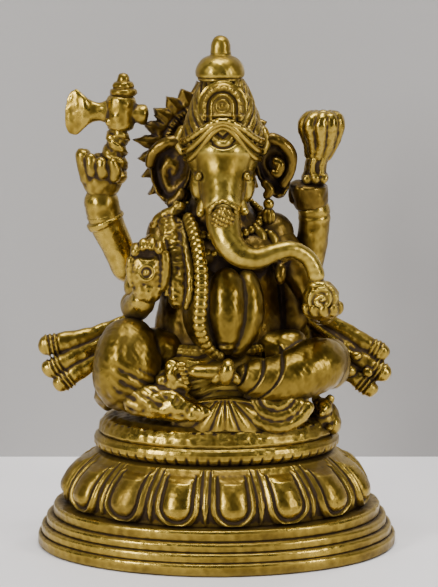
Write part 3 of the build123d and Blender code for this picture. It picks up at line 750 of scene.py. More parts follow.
def headRelief(points, normals):
    # small eyes low on the sides of the mask, and a cut mark like a cup with a leaf in it on the brow
    p = points - headSpot
    front = smoothStep(-0.1, -0.7, normals[:, 1])
    socket = np.sqrt((np.abs(p[:, 0]) - face["eyeReach"]) ** 2 / 1.2 + (p[:, 2] - face["eyeLevel"]) ** 2)
    eyes = 0.16 * hill(socket, 1.15, 0.3) - face["eyeDepth"] * hill(socket, 0.0, 0.8)
    cup = np.sqrt(p[:, 0] ** 2 + np.minimum(p[:, 2] - face["markLevel"], 0) ** 2 * 1.1)
    here = front * (p[:, 2] > 0.6) * smoothStep(7.4, 6.8, p[:, 2])
    line = -0.5 * hill(cup, face["mark"], 0.3) + 0.3 * smoothStep(face["mark"] - 0.2, face["mark"] - 0.9,
        cup)
    leaf = np.abs(p[:, 0]) - 0.5 * np.clip(p[:, 2] - 3.2, 0, 4)
    notch = -0.75 * smoothStep(0.15, -0.25, leaf) * smoothStep(3.2, 3.8, p[:, 2]) * (cup < face["mark"])
    return front * eyes + here * (line + notch)


castPiece(
    "elephantHead",
    [
        blob(headSpot + (0, 0.8, 0.4), (7.0, 6.6, 6.9), rows=50, sides=70),
        tube([(1.3, -3.2, 81.6, 5.6, 5.6), (1.3, -3.7, 78.0, 6.35, 6.0), (1.2, -4.3, 75.2, 5.5, 5.4),
            (1.1, -5.3, 72.2, 4.55, 5.0), (1.1, -6.9, 69.4, 4.1, 4.9), (1.1, -8.8, 67.0, 3.7, 4.3),
            (1.2, -10.2, 65.2, 3.2, 3.5)],
             rows=80, sides=70, blunt=(1, 0.5)),
        blob((-2.9, -2.4, 70.6), (2.2, 3.0, 3.8)), blob((5.2, -2.4, 70.6), (2.2, 3.0, 3.8)),
    ],
    "polished", ["head", "forehead_mark"], voxel=0.2, soften=4, relief=headRelief, skin=0.025,
)

castPiece(
    "narrowEyes",
    [blob(headSpot + (side * 4.55, -5.2, -3.6), (0.75, 0.7, 0.85), (0, side * -14, side * 42), rows=16,
        sides=24) for side in (-1, 1)],
    "chased", ["eyes"], skin=0.0,
)

trunkPath = [(1.1, -8.0, 69.0, 3.1), (1.2, -10.0, 66.4, 3.3), (1.4, -12.0, 63.8, 3.15),
    (2.3, -13.8, 61.1, 2.75), (4.6, -15.0, 58.9, 2.35),
             (7.6, -15.3, 58.3, 1.95), (10.8, -15.1, 59.4, 1.7), (13.8, -14.6, 59.9, 1.6),
             (16.6, -14.0, 58.6, 1.55), (18.2, -13.6, 56.2, 1.6), (18.9, -13.3, 53.4, 1.75)]


def trunkRings(length, angle):
    # faint wrinkles that cross the trunk, closer and deeper towards its tip
    deep = 0.004 + 0.004 * smoothStep(8, 30, length)
    return deep * np.sin(length * 2 * np.pi / 1.35 + 0.5 * np.sin(angle)) * smoothStep(9.0, 12.0, length)


castPiece(
    "curvedTrunk",
    [tube(trunkPath, rows=230, sides=60, side=(0.25, 1, 0.1), relief=trunkRings),
        blob((18.9, -13.4, 53.2), (1.9, 1.9, 1.0)), blob((19.8, -14.6, 53.0), (0.8, 0.8, 0.8))],
    "polished", ["trunk"], voxel=0.15, soften=2, skin=0.02,
)


def capRelief(points, normals):
    # a grid of small beads, and a plain lip round them
    x, z = points[:, 0] - 1.2, points[:, 2]
    front = smoothStep(0.1, -0.4, normals[:, 1])
    beads = 0.26 * np.abs(np.sin(np.pi * (z + 0.55 * x) / 1.05)) \
        * np.abs(np.sin(np.pi * (x - 0.25 * z) / 1.0)) ** 0.6
    return front * (beads - 0.12)


castPiece(
    "trunkCap",
    [blob((1.2, -13.5, 65.0), (2.35, 2.0, 3.2), (34, 0, 0), rows=80, sides=90),
        tube([(-1.3, -12.6, 66.2, 0.45), (-0.6, -13.4, 67.9, 0.45), (1.2, -13.6, 68.7, 0.45),
            (3.0, -13.4, 67.9, 0.45), (3.7, -12.6, 66.2, 0.45)], rows=60, sides=14, side=(0, 1, 0.01))],
    "chased", ["trunk_cap"], relief=capRelief, skin=0.01,
)

castPiece(
    "shortTusks",
    [
        tube([(-2.2, -7.0, 68.0, 1.15), (-2.8, -9.0, 66.6, 1.0), (-3.1, -10.8, 65.8, 0.7)], sides=20,
            side=(0, 0, 1)),
        tube([(4.4, -7.0, 68.0, 1.15), (5.0, -9.0, 66.8, 1.0), (5.4, -11.0, 66.2, 0.7)], sides=20,
            side=(0, 0, 1)),
    ],
    "polished", ["tusks"], skin=0.01,
)


def earShell(middle, width, height, turn, curl):
    # a leaf: across and up are cosine and sine of an egg-shaped outline; the face dishes in, the rim
    # rolls out, and ridges run from the root like a shell
    reach = np.concatenate([np.linspace(0.01, 1, 40), np.linspace(0.985, 0.01, 12)])[:, None]
    angle = np.linspace(0, 2 * np.pi, 130, endpoint=False)[None, :]
    x = width * reach * np.cos(angle) * (1 + 0.22 * np.sin(angle))
    z = height * reach * np.sin(angle)
    front = np.concatenate([np.ones(40), np.zeros(12)])[:, None]
    rim = 1.05 * hill(reach, 0.88, 0.10)
    spiral = 0.35 * np.cos(angle * curl - 9.0 * reach) * smoothStep(0.95, 0.75, reach) * smoothStep(0.0,
        0.2, reach)
    scallop = 0.16 * np.sin(angle * 13) * hill(reach, 0.9, 0.14)
    y = -front * (rim + spiral + scallop - 0.7 * (1 - reach**2)) \
        + (1 - front) * (0.4 + 0.9 * (1 - reach**2))
    return np.stack([x, y, z], axis=2) @ turned(turn).T + np.asarray(middle, float)


# the ears take the darker brass: painted shade at the sides of the head
castPiece(
    "rightEar",
    [earShell((-8.7, 1.0, 72.6), 4.3, 6.2, (4, 8, -14), 1),
     tube([(-5.0, 0.4, 77.6, 1.1), (-8.6, -0.3, 78.6, 1.2), (-12.0, 0.2, 76.4, 1.1),
         (-12.9, 0.9, 73.2, 0.9)], side=(0, 1, 0)),
     tube([(-9.6, -0.2, 66.4, 1.0), (-7.8, -0.5, 67.2, 1.1), (-6.2, -0.6, 69.6, 1.0)], side=(0, 1, 0))],
    "shadedDark", ["right_ear"], voxel=0.16, soften=1, skin=0.06,
)
castPiece(
    "leftEar",
    [earShell((11.0, 1.0, 73.4), 3.7, 6.2, (4, -14, 16), -1),
     tube([(7.6, 0.4, 78.4, 1.1), (11.0, -0.2, 79.0, 1.2), (14.0, 0.2, 76.6, 1.2), (14.2, 0.6, 73.0, 1.0),
         (12.4, 0.6, 69.6, 0.9)], side=(0, 1, 0)),
     tube([(10.6, -0.6, 75.2, 0.8), (12.2, -0.8, 74.2, 0.9), (11.6, -0.8, 72.4, 0.8),
         (10.2, -0.6, 73.0, 0.6)], side=(0, 1, 0)),
     tube([(8.6, -0.4, 71.0, 0.8), (10.2, -0.7, 69.4, 0.9), (9.2, -0.6, 67.6, 0.8)], side=(0, 1, 0))],
    "shadedDark", ["left_ear"], voxel=0.16, soften=1, skin=0.06,
)
castPiece(
    "hangingEarrings",
    [blob((side * 8.8 + 1.2, -0.8, 66.6), (1.1, 1.1, 1.1), rows=16, sides=24) for side in (-1, 1)]
    + [blob((side * 8.7 + 1.2, -0.9, 64.2), (1.5, 1.4, 1.7),
            relief=lambda lat, lon: 0.08 * np.sin(8 * lon) * np.sin(lat)) for side in (-1, 1)]
    + [blob((side * 8.6 + 1.2, -0.9, 62.6), (0.7, 0.7, 0.8), rows=14, sides=20) for side in (-1, 1)],
    "chased", ["earrings"], voxel=0.14, soften=1, skin=0.03,
)

# Crown: arched bands, a ribbed cone, a plaque with a jewel, a knob and a finial

crownSpot = np.array([1.2, -1.2])
knobMiddle = boxOf("crown_knob")[0]
finialMiddle = boxOf("crown_finial")[0]


def archLine(rise, reach, low, thick, narrow=0.78):
    # a band that arches over the brow: round the head by angle, its height a bell curve in front
    angle = np.linspace(-0.5 * np.pi - 1.9, -0.5 * np.pi + 1.9, 31)
    lift = hill(angle, -0.5 * np.pi, narrow)
    return [(headSpot[0] + reach * math.cos(a), headSpot[1] + 1.0 + reach * math.sin(a), low + rise * l,
        thick) for a, l in zip(angle, lift)]


castPiece(
    "crownBand",
    [
        tube(archLine(6.7, 7.0, 75.4, 0.6, 0.66), rows=130, sides=18, side=(0, 0, 1)),
        tube(archLine(5.9, 7.3, 76.9, 0.65, 0.72), rows=130, sides=18, side=(0, 0, 1)),
        tube(archLine(4.6, 7.5, 78.7, 0.65, 0.8), rows=200, sides=18, side=(0, 0, 1), relief=lambda s,
            a: 0.08 * np.sin(s * 2 * np.pi / 1.3)),
        tube([(-5.9, -1.0, 76.0, 1.0), (-7.2, -0.2, 78.6, 1.1), (-6.0, -0.6, 81.6, 1.0)], side=(0, 1, 0)),
        tube([(8.3, -1.0, 76.0, 1.0), (9.4, -0.2, 78.6, 1.1), (8.4, -0.6, 81.6, 1.0)], side=(0, 1, 0)),
    ],
    "chased", ["crown_band"], skin=0.03,
)

crownRibs = {"strands": 17, "depth": 0.6, "lean": 0.16}


def coneRelief(angle, z, width):
    # locks of hair that sweep down and away from the plaque on both sides, each with a line down it
    aside = np.abs((angle + 0.5 * np.pi + np.pi) % (2 * np.pi) - np.pi)
    turn = (aside - crownRibs["lean"] * (z - 80)) * crownRibs["strands"]
    return crownRibs["depth"] * (np.abs(np.sin(turn / 2)) ** 0.8 - 0.5) + 0.07 * np.sin(turn * 2.5)


castPiece(
    "crownCone",
    [ovalWall([(0.01, 78.0), (7.3, 78.0), (7.6, 79.6), (7.2, 82.0), (6.3, 84.8), (5.4, 87.4), (4.4, 89.4),
        (3.7, 90.6), (0.01, 90.7)],
              420, 0.95, crownSpot, relief=coneRelief, step=0.24)],
    "chased", ["crown_cone"], skin=0.09,
)


def plaqueShield():
    # a horseshoe on a dome that bulges forwards: a round jewel in two rings, a plain arch, then a
    # toothed arch; all stop at a sill below the jewel
    reach = np.concatenate([np.linspace(0.005, 1, 90), np.linspace(0.97, 0.005, 8)])[:, None]
    angle = np.linspace(0, 2 * np.pi, 260, endpoint=False)[None, :]
    front = np.concatenate([np.ones(90), np.zeros(8)])[:, None]
    x = 4.7 * reach * np.cos(angle)
    z = np.maximum(4.6 * reach * np.sin(angle), -2.7 - 0.25 * reach)
    jewel = np.sqrt(x**2 + (z + 0.3) ** 2)
    arch = np.sqrt(x**2 + np.maximum(z + 0.3, 0) ** 2)
    rings = 0.55 * hill(jewel, 0.0, 0.45) + 0.35 * hill(jewel, 1.15, 0.28) + 0.5 * hill(arch, 2.1,
        0.33) - 0.3 * hill(arch, 2.75, 0.2)
    teeth = 0.55 * hill(arch, 3.6, 0.45) * (0.45 + 0.55 * np.abs(np.sin(angle * 7.5)))
    sill = 0.5 * hill(z, -2.1, 0.35)
    y = front * (-1.5 * (1 - (x / 4.7) ** 2) * (1 - 0.4 * (z / 4.6) ** 2) - rings - teeth - sill) \
        + (1 - front) * 1.2
    return np.stack([x, y, z], axis=2) @ turned((-15, 0, 0)).T + np.array([1.1, -6.7, 85.9])


castPiece("crownPlaque", [plaqueShield()], "chased", ["crown_plaque"], skin=0.03)

castPiece(
    "crownKnob",
    [ovalWall([(0.01, 89.9)] + [tuple(p) for p in smoothLine([(3.1, 90.0), (4.2, 90.4), (4.7, 91.5),
        (4.45, 92.9), (3.6, 94.2), (2.4, 94.9), (1.2, 95.0)], 40)] + [(0.01, 95.1)],
              200, 0.97, (knobMiddle[0], crownSpot[1]), relief=lambda angle, z,
              w: -0.25 * hill(z, 90.8, 0.22) * (w > 2), step=0.14)],
    "polished", ["crown_knob"], skin=0.04,
)
castPiece(
    "crownFinial",
    [ovalWall([(0.01, 94.6)] + [tuple(p) for p in smoothLine([(2.3, 94.7), (2.1, 95.2), (1.95, 96.0),
        (1.85, 97.0), (1.5, 98.0), (0.85, 98.6), (0.25, 98.8)], 40)] + [(0.01, 98.82)],
              120, 1.0, (finialMiddle[0], crownSpot[1]), relief=lambda angle, z,
              w: -0.10 * hill(z, 95.3, 0.15) * (w > 1), step=0.1)],
    "polished", ["crown_finial"], skin=0.04,
)

# Halo: a thick leaf-edged disc behind the head, its right points long and its left ones worn short

halo = {"middle": (-2.0, 6.6, 76.6), "radius": 11.3, "points": 24, "turn": (0, 0, 12), "thick": 0.9}


def haloDisc():
    # cosine and sine of a radius whose outer rows swing out into points; rings and rays stand on its face
    angle = np.linspace(0, 2 * np.pi, 24 * 22, endpoint=False)[None, :]
    reach = np.concatenate([np.linspace(0.005, 1, 60), np.linspace(0.995, 0.005, 24)])[:, None]
    front = np.concatenate([np.ones(60), -np.ones(24)])[:, None]
    part = (angle * halo["points"] / (2 * np.pi)) % 1.0
    tooth = np.clip(1 - np.abs(part - 0.5) * 2.1, 0, 1)
    uneven = 1 + 0.22 * np.sin(np.floor(angle * halo["points"] / (2 * np.pi)) * 2.4)
    longer = np.where((np.cos(angle) < -0.2) & (np.sin(angle) < 0.55), 2.7, 1.5) * uneven
    grown = smoothStep(0.78, 1.0, reach)
    radius = halo["radius"] * reach + grown * tooth**0.95 * longer
    thin = halo["thick"] * (1 + 0.5 * hill(reach, 0.84, 0.06)) * np.sqrt(np.clip(1.003 - reach**6, 0,
        1)) + 0.75 * grown * tooth**1.3
    rays = 0.32 * np.abs(np.sin(angle * halo["points"] / 2)) * smoothStep(0.5, 0.6, reach) * smoothStep(0.8,
        0.76, reach)
    beads = 0.4 * np.abs(np.sin(angle * 36)) * hill(reach, 0.71, 0.04)
    y = -front * (thin + (front > 0) * (rays + beads))
    x, z = radius * np.cos(angle), radius * np.sin(angle)
    return np.stack([x, y + 0 * x, z], axis=2) @ turned(halo["turn"]).T + np.asarray(halo["middle"])


castPiece("spikedHalo", [haloDisc()], "shadedDark", ["halo"], skin=0.1)
print("head, crown and halo done")

# Rear arms: the axe on one side, a lotus bud on the other


def roughSkin(size, deep, seed):
    # casting marks: lumps where two sets of waves agree
    return lambda points, normals: deep * waves(points, size,
        seed) * (0.6 + 0.4 * waves(points, size * 2.3, seed + 1))


castPiece(
    "rearRightUpperArm",
    [tube([(-8.6, 5.6, 59.8, 3.4), (-12.4, 5.4, 56.0, 3.3), (-15.6, 5.0, 52.4, 3.1),
        (-17.0, 4.9, 51.2, 2.9)], rows=60, sides=48)],
    "chased", ["rear_right_upper_arm"], voxel=0.25, soften=2, relief=roughSkin(3.4, 0.10, 41),
)
castPiece(
    "rearRightForearm",
    [tube([(-16.6, 4.9, 50.6, 2.7), (-17.6, 4.9, 53.6, 2.95), (-19.3, 4.8, 57.8, 3.1),
        (-21.2, 4.6, 62.0, 3.35), (-22.2, 4.3, 66.0, 3.4), (-22.4, 4.0, 69.6, 3.5)], rows=90, sides=56)],
    "chased", ["rear_right_forearm"], voxel=0.25, soften=3, relief=roughSkin(3.0, 0.09, 43),
)
castPiece(
    "rightArmlet",
    [
        tube([(-21.0, 4.6, 61.7, 3.5), (-21.5, 4.5, 62.7, 3.72), (-21.9, 4.4, 63.7, 3.62)], rows=20,
            sides=80, blunt=(0.2, 0.2),
             relief=lambda s, a: 0.035 * np.abs(np.sin(a * 14))),
        tube([(-21.8, 4.4, 63.6, 3.55), (-22.0, 4.3, 64.4, 3.66)], rows=14, sides=80, blunt=(0.15, 0.15)),
    ],
    "chased", ["right_armlet"], skin=0.05,
)
castPiece(
    "rearRightHand",
    [
        blob((-22.1, 3.8, 71.4), (4.1, 3.2, 4.6), (0, -6, 0)),
        blob((-20.2, 3.4, 73.2), (2.9, 2.9, 3.8), (0, 6, 0)),
        tube([(-24.0, 3.4, 69.6, 2.0), (-25.0, 3.1, 73.2, 1.8), (-25.9, 3.0, 76.4, 1.45),
            (-26.0, 3.0, 77.0, 1.3)], side=(0, 1, 0)),
        tube([(-23.4, 1.8, 71.4, 1.2), (-24.0, 1.2, 74.2, 1.15), (-24.1, 1.4, 76.2, 0.9)], side=(0, 1, 0)),
        tube([(-21.6, 1.2, 71.2, 1.2), (-22.0, 0.7, 73.6, 1.15), (-22.3, 1.0, 75.6, 0.9)], side=(0, 1, 0)),
        tube([(-19.6, 1.6, 70.6, 1.2), (-19.4, 0.6, 73.0, 1.2), (-20.2, 0.2, 75.4, 1.0)], side=(0, 1, 0)),
    ],
    "chased", ["rear_right_hand"], voxel=0.2, soften=2, relief=roughSkin(2.2, 0.12, 45),
)


def twist(length, angle):
    # two strands wound round the staff
    return 0.13 * np.sin(2 * angle + length * 2.2) + 0.03 * np.sin(length * 7 + 3 * angle)


castPiece(
    "axeShaft",
    [tube([(-18.6, 2.7, 70.0, 1.6), (-19.2, 2.6, 73.4, 2.1), (-19.5, 2.6, 76.0, 2.25),
        (-19.0, 2.6, 78.8, 2.1), (-18.4, 2.6, 81.4, 2.3)], rows=120, sides=40, relief=twist)],
    "chased", ["axe_shaft"], voxel=0.16, soften=1, relief=roughSkin(1.6, 0.10, 47),
)


def bladeFace(points, normals):
    # the blade is ground thin towards its edge from a raised shoulder
    out = -22.5 - points[:, 0]
    flat = smoothStep(0.4, 0.8, np.abs(normals[:, 1]))
    return flat * (0.25 * hill(out, 2.6, 0.9) - 0.20 * smoothStep(3.4, 6.0, out)) + 0.05 * waves(points,
        2.0, 49)


castPiece(
    "axeHead",
    [
        tube([(-18.4, 2.6, 80.0, 2.2), (-18.4, 2.6, 81.6, 2.65), (-18.3, 2.6, 84.0, 2.85),
            (-18.2, 2.6, 86.2, 2.8), (-18.1, 2.6, 87.6, 2.3)], sides=40, blunt=(0.4, 0.4)),
        tube([(-18.6, 2.6, 84.0, 2.3, 1.6), (-21.2, 2.6, 84.0, 2.1, 1.5), (-22.6, 2.6, 84.0, 1.8, 1.3),
            (-24.0, 2.6, 84.0, 2.2, 1.2), (-25.2, 2.6, 84.0, 3.1, 1.15),
              (-26.3, 2.6, 84.0, 4.15, 1.0), (-27.2, 2.6, 84.0, 4.5, 0.85), (-28.1, 2.6, 84.1, 3.9, 0.7),
              (-29.0, 2.6, 84.2, 2.4, 0.5)], rows=90, sides=60, blunt=(1, 0.16)),
        tube([(-17.4, 2.6, 83.9, 1.8), (-15.6, 2.6, 83.7, 1.75), (-14.2, 2.6, 83.5, 2.0),
            (-13.0, 2.6, 83.4, 1.9)], sides=40, blunt=(1, 0.4)),
        blob((-20.4, 1.4, 82.2), (0.9, 0.8, 1.0)), blob((-17.4, 0.4, 85.6), (1.0, 0.7, 0.9)),
        blob((-18.9, 0.3, 83.2), (0.9, 0.6, 1.2), (0, 20, 0)),
    ],
    "chased", ["axe_head"], voxel=0.17, soften=2, relief=bladeFace,
)
castPiece(
    "axeFinial",
    [ovalWall([(0.01, 86.9)] + [tuple(p) for p in smoothLine([(2.2, 87.0), (2.6, 87.5), (2.5, 88.2),
        (2.0, 88.5), (2.1, 89.0), (1.8, 89.6), (1.25, 89.9), (1.15, 90.6), (0.8, 91.2), (0.3, 91.4)],
        60)] + [(0.01, 91.42)],
              120, 1.0, (-17.8, 2.6), step=0.1)],
    "chased", ["axe_finial"], skin=0.08,
)

castPiece(
    "rearLeftUpperArm",
    [tube([(9.4, 5.6, 59.8, 3.5), (13.6, 5.4, 56.6, 3.4), (17.2, 5.1, 53.4, 3.1), (18.6, 5.0, 52.2, 2.9)],
        rows=60, sides=48)],
    "chased", ["rear_left_upper_arm"], voxel=0.25, soften=2, relief=roughSkin(3.4, 0.10, 51),
)
castPiece(
    "rearLeftForearm",
    [tube([(17.6, 5.0, 50.6, 2.7), (17.8, 5.0, 53.6, 2.9), (18.5, 4.9, 57.8, 3.0), (18.9, 4.7, 61.6, 3.05),
        (18.9, 4.5, 64.4, 3.15), (18.4, 4.2, 67.6, 3.3)], rows=90, sides=56,
          relief=lambda s, a: -0.045 * hill(s, 13.4, 0.22) + 0.03 * hill(s, 12.7, 0.4))],
    "chased", ["rear_left_forearm"], voxel=0.22, soften=2, relief=roughSkin(3.0, 0.07, 53),
)
castPiece(
    "rearLeftCuff",
    [
        tube([(18.6, 4.3, 64.8, 3.1), (18.2, 4.2, 67.0, 3.5), (17.8, 4.1, 69.2, 3.7),
            (17.8, 4.0, 70.4, 3.6)], sides=48, blunt=(0.3, 0.2)),
        blob((15.9, 4.4, 69.4), (2.0, 2.4, 1.3)), tube([(15.0, 4.0, 66.0, 0.9), (14.9, 4.0, 68.2, 1.1),
            (15.2, 3.8, 70.2, 1.0)]),
    ],
    "shadedDark", ["rear_left_cuff"], voxel=0.2, soften=1, relief=roughSkin(2.0, 0.12, 55),
)
castPiece(
    "rearLeftHand",
    [
        blob((19.0, 3.9, 71.2), (2.7, 2.6, 1.7)), tube([(19.0, 3.9, 70.2, 2.5), (19.0, 3.7, 72.4, 2.2),
            (19.3, 3.4, 74.6, 2.15), (19.7, 3.2, 76.4, 2.6)], sides=40),
        blob((17.4, 1.7, 71.1), (0.9, 0.8, 1.0)), blob((19.0, 1.3, 71.4), (0.9, 0.8, 1.1)),
        blob((20.6, 1.8, 71.2), (0.9, 0.8, 1.0)),
        tube([(18.6, 1.6, 71.4, 0.7), (18.4, 1.4, 73.6, 0.6), (18.8, 1.2, 75.6, 0.6)]),
        tube([(20.2, 1.8, 71.4, 0.7), (20.2, 1.6, 73.6, 0.6), (20.8, 1.2, 75.6, 0.6)]),
    ],
    "chased", ["rear_left_hand"], voxel=0.17, soften=2, relief=roughSkin(1.6, 0.10, 57),
)

bud = {"petals": 10, "middle": (20.1, 3.1)}


def budPetals():
    # petals stand round an oval, spread to the shoulder and curl in over the top like knuckles
    made = []
    for angle in np.arange(bud["petals"]) * 2 * np.pi / bud["petals"] + 0.25:
        x, y = math.cos(angle), math.sin(angle)
        made.append(tube([
            (19.4 + 1.5 * x, 3.2 + 1.3 * y, 74.6, 0.95),
            (bud["middle"][0] + 2.5 * x, 3.1 + 2.2 * y, 78.0, 1.15),
            (bud["middle"][0] + 3.35 * x, 3.0 + 2.9 * y, 81.2, 1.4),
            (bud["middle"][0] + 0.3 + 2.6 * x, 2.9 + 2.3 * y, 82.9, 1.25),
            (bud["middle"][0] + 0.3 + 1.0 * x, 2.9 + 0.9 * y, 83.0, 1.1),
        ], rows=40, sides=24, side=(-y, x, 0.02)))
    return made


castPiece(
    "lotusBud",
    budPetals() + [tube([(19.4, 3.2, 74.8, 1.9), (20.0, 3.1, 78.4, 2.8), (20.3, 3.0, 81.4, 3.2),
        (20.4, 3.0, 82.6, 2.6)], sides=40)],
    "chased", ["lotus_bud"], voxel=0.17, soften=1, relief=roughSkin(1.4, 0.07, 59),
)

# Front arms: a blessing hand, and a hand that holds up a sweet to the trunk

castPiece(
    "frontRightUpperArm",
    [tube([(-8.2, 1.0, 61.0, 3.3), (-11.4, 0.0, 57.4, 3.5), (-14.2, -1.2, 52.0, 3.3),
        (-15.4, -1.8, 47.6, 3.1)], rows=70, sides=48)],
    "chased", ["front_right_upper_arm"], voxel=0.25, soften=2, relief=roughSkin(3.2, 0.12, 61),
)
castPiece(
    "frontRightForearm",
    [tube([(-15.4, -1.6, 47.2, 2.9), (-15.4, -4.4, 47.2, 2.8), (-14.2, -7.2, 48.8, 2.6),
        (-13.2, -8.4, 51.2, 2.6)], rows=60, sides=44, side=(0, 0.3, 1)),
     blob((-15.4, -1.8, 47.2), (3.1, 3.1, 3.1))],
    "chased", ["front_right_forearm"], voxel=0.22, soften=2, relief=roughSkin(2.6, 0.10, 63),
)


def palmRelief(points, normals):
    # a flower boss in the palm, a hollow below the fingers and creases down the wrist
    front = smoothStep(-0.2, -0.7, normals[:, 1])
    x, z = points[:, 0] + 13.2, points[:, 2]
    boss = np.sqrt(x**2 + (z - 55.0) ** 2)
    ring = 0.24 * hill(boss, 1.4, 0.4) + 0.28 * hill(boss, 0.0, 0.5) - 0.16 * hill(boss, 0.8, 0.3)
    hollow = -1.0 * hill(x - 0.2, 0, 1.6) * hill(z, 58.2, 0.7)
    crease = 0.06 * np.sin(x * 3.2) * smoothStep(53.6, 51.0, z)
    return front * (ring + hollow + crease) + 0.06 * waves(points, 1.6, 65)


def blessingFingers():
    # each finger rises behind the palm and curls over towards the front
    made = []
    for x, top in ((-15.3, 59.6), (-13.8, 60.5), (-12.2, 60.6), (-10.7, 60.0)):
        made.append(tube([(x, -8.4, 56.4, 1.0), (x + 0.1, -8.7, 58.8, 0.98), (x + 0.1, -9.6, top, 0.92),
            (x, -10.7, top - 0.9, 0.85), (x, -10.9, top - 1.6, 0.7)],
                         rows=40, sides=22, side=(1, 0, 0.01)))
    return made


castPiece(
    "frontRightHand",
    blessingFingers() + [
        blob((-13.1, -9.3, 55.0), (3.5, 2.0, 4.6)), blob((-13.0, -9.0, 51.6), (2.9, 2.1, 3.0)),
        blob((-13.0, -8.8, 58.4), (3.2, 1.3, 1.9)),
        tube([(-10.6, -9.0, 51.0, 1.0), (-9.7, -9.8, 54.2, 1.05), (-9.6, -10.2, 57.4, 0.95),
            (-9.9, -10.2, 59.2, 0.8)], sides=22),
        tube([(-15.7, -9.2, 51.8, 0.7), (-16.3, -9.8, 55.0, 0.8), (-16.0, -10.0, 58.0, 0.8)], sides=22),
    ],
    "chased", ["front_right_hand"], voxel=0.17, soften=4, relief=palmRelief,
)

# this arm takes the darker brass: painted shade beside the belly
castPiece(
    "frontLeftUpperArm",
    [
        tube([(9.0, 1.0, 61.2, 3.4), (12.4, 0.6, 58.0, 3.6), (16.6, 0.0, 52.4, 3.3),
            (19.4, -0.6, 47.4, 3.1)], rows=80, sides=48),
        tube([(12.0, 0.5, 57.2, 3.75), (12.9, 0.4, 56.0, 3.9), (13.7, 0.3, 54.9, 3.75)], rows=24, sides=90,
            blunt=(0.2, 0.2), relief=lambda s, a: 0.05 * np.abs(np.sin(a * 9))),
        tube([(12.4, -3.4, 55.6, 0.9), (12.2, -4.0, 53.4, 1.1), (12.0, -3.8, 51.4, 0.7)], side=(1, 0, 0)),
    ],
    "shadedDark", ["front_left_upper_arm"], voxel=0.22, soften=1, relief=roughSkin(2.8, 0.12, 67),
)
castPiece(
    "frontLeftForearm",
    [tube([(19.6, -0.4, 47.0, 2.9), (20.2, -4.0, 46.6, 2.8), (20.2, -7.4, 46.8, 2.5),
        (19.9, -10.4, 47.0, 2.3)], rows=60, sides=44, side=(0, 0, 1)),
        blob((19.6, -0.8, 47.0), (3.1, 3.1, 3.1))],
    "chased", ["front_left_forearm"], voxel=0.22, soften=2, relief=roughSkin(2.6, 0.10, 69),
)
castPiece(
    "frontLeftHand",
    [blob((19.8, -12.0, 48.0), (3.5, 3.5, 2.2), (-8, 0, 0)), blob((19.8, -9.8, 47.2), (2.6, 2.4, 2.0))]
    + [tube([(19.8 + 2.6 * math.cos(a), -12.0 + 2.6 * math.sin(a), 47.3, 1.0),
        (19.8 + 3.3 * math.cos(a), -12.2 + 3.2 * math.sin(a), 48.6, 0.95),
        (19.8 + 3.1 * math.cos(a), -12.4 + 3.0 * math.sin(a), 49.8, 0.7)],
        rows=26, sides=20, side=(-math.sin(a), math.cos(a), 0.02))
       for a in (-2.7, -2.1, -1.5, -0.9, -0.1)],
    "chased", ["front_left_hand"], voxel=0.18, soften=4, relief=roughSkin(1.8, 0.08, 71),
)


def sweetRelief(points, normals):
    # a round cake: lumps all over and a coiled disc on its front
    p = points - np.array([19.6, -13.0, 50.6])
    reach = np.sqrt(p[:, 0] ** 2 + p[:, 2] ** 2)
    coil = 0.22 * np.sin(reach * 4.6 - np.arctan2(p[:, 2], p[:, 0])) * smoothStep(-0.3, -0.8, normals[:, 1])
    return coil + 0.16 * waves(points, 1.5, 73)


castPiece("sweetBall", [blob((19.6, -13.0, 50.6), (3.35, 3.15, 3.2), rows=110, sides=150)], "polished",
    ["sweet"], relief=sweetRelief, skin=0.04)

# Garland, scarf, necklace and the two flying sash ends


def ribs(length, angle):
    # cross ribs like short rungs, with a narrow line between
    return 0.24 * (np.abs(np.cos(length * np.pi / 1.35)) ** 0.6 - 0.6)


castPiece(
    "beadGarland",
    [tube([(-5.8, -3.2, 64.8, 1.2, 0.9), (-4.6, -6.8, 62.8, 1.25, 0.95), (-3.6, -9.6, 60.0, 1.25, 0.95),
        (-3.0, -11.8, 57.0, 1.25, 0.95), (-2.8, -13.3, 53.0, 1.25, 0.95),
           (-3.0, -14.3, 49.0, 1.25, 0.9), (-3.2, -14.4, 45.6, 1.2, 0.9), (-2.4, -13.8, 42.6, 1.1, 0.85),
           (-0.8, -12.6, 40.0, 1.0, 0.8), (1.4, -11.8, 38.8, 0.9, 0.8)],
          rows=330, sides=36, side=(0, 1, 0.35), relief=ribs)],
    "chased", ["garland"], skin=0.03,
)


def scarfRelief(points, normals):
    # rough folds: sharp little ridges running down and across
    p = points
    down = np.sin(p[:, 0] * 3.6 + 0.6 * np.sin(p[:, 2] * 1.1))
    front = smoothStep(0.2, -0.4, normals[:, 1])
    return front * (0.06 * down + 0.14 * np.abs(waves(p, 2.2, 75)) + 0.07 * waves(p, 1.2, 77))


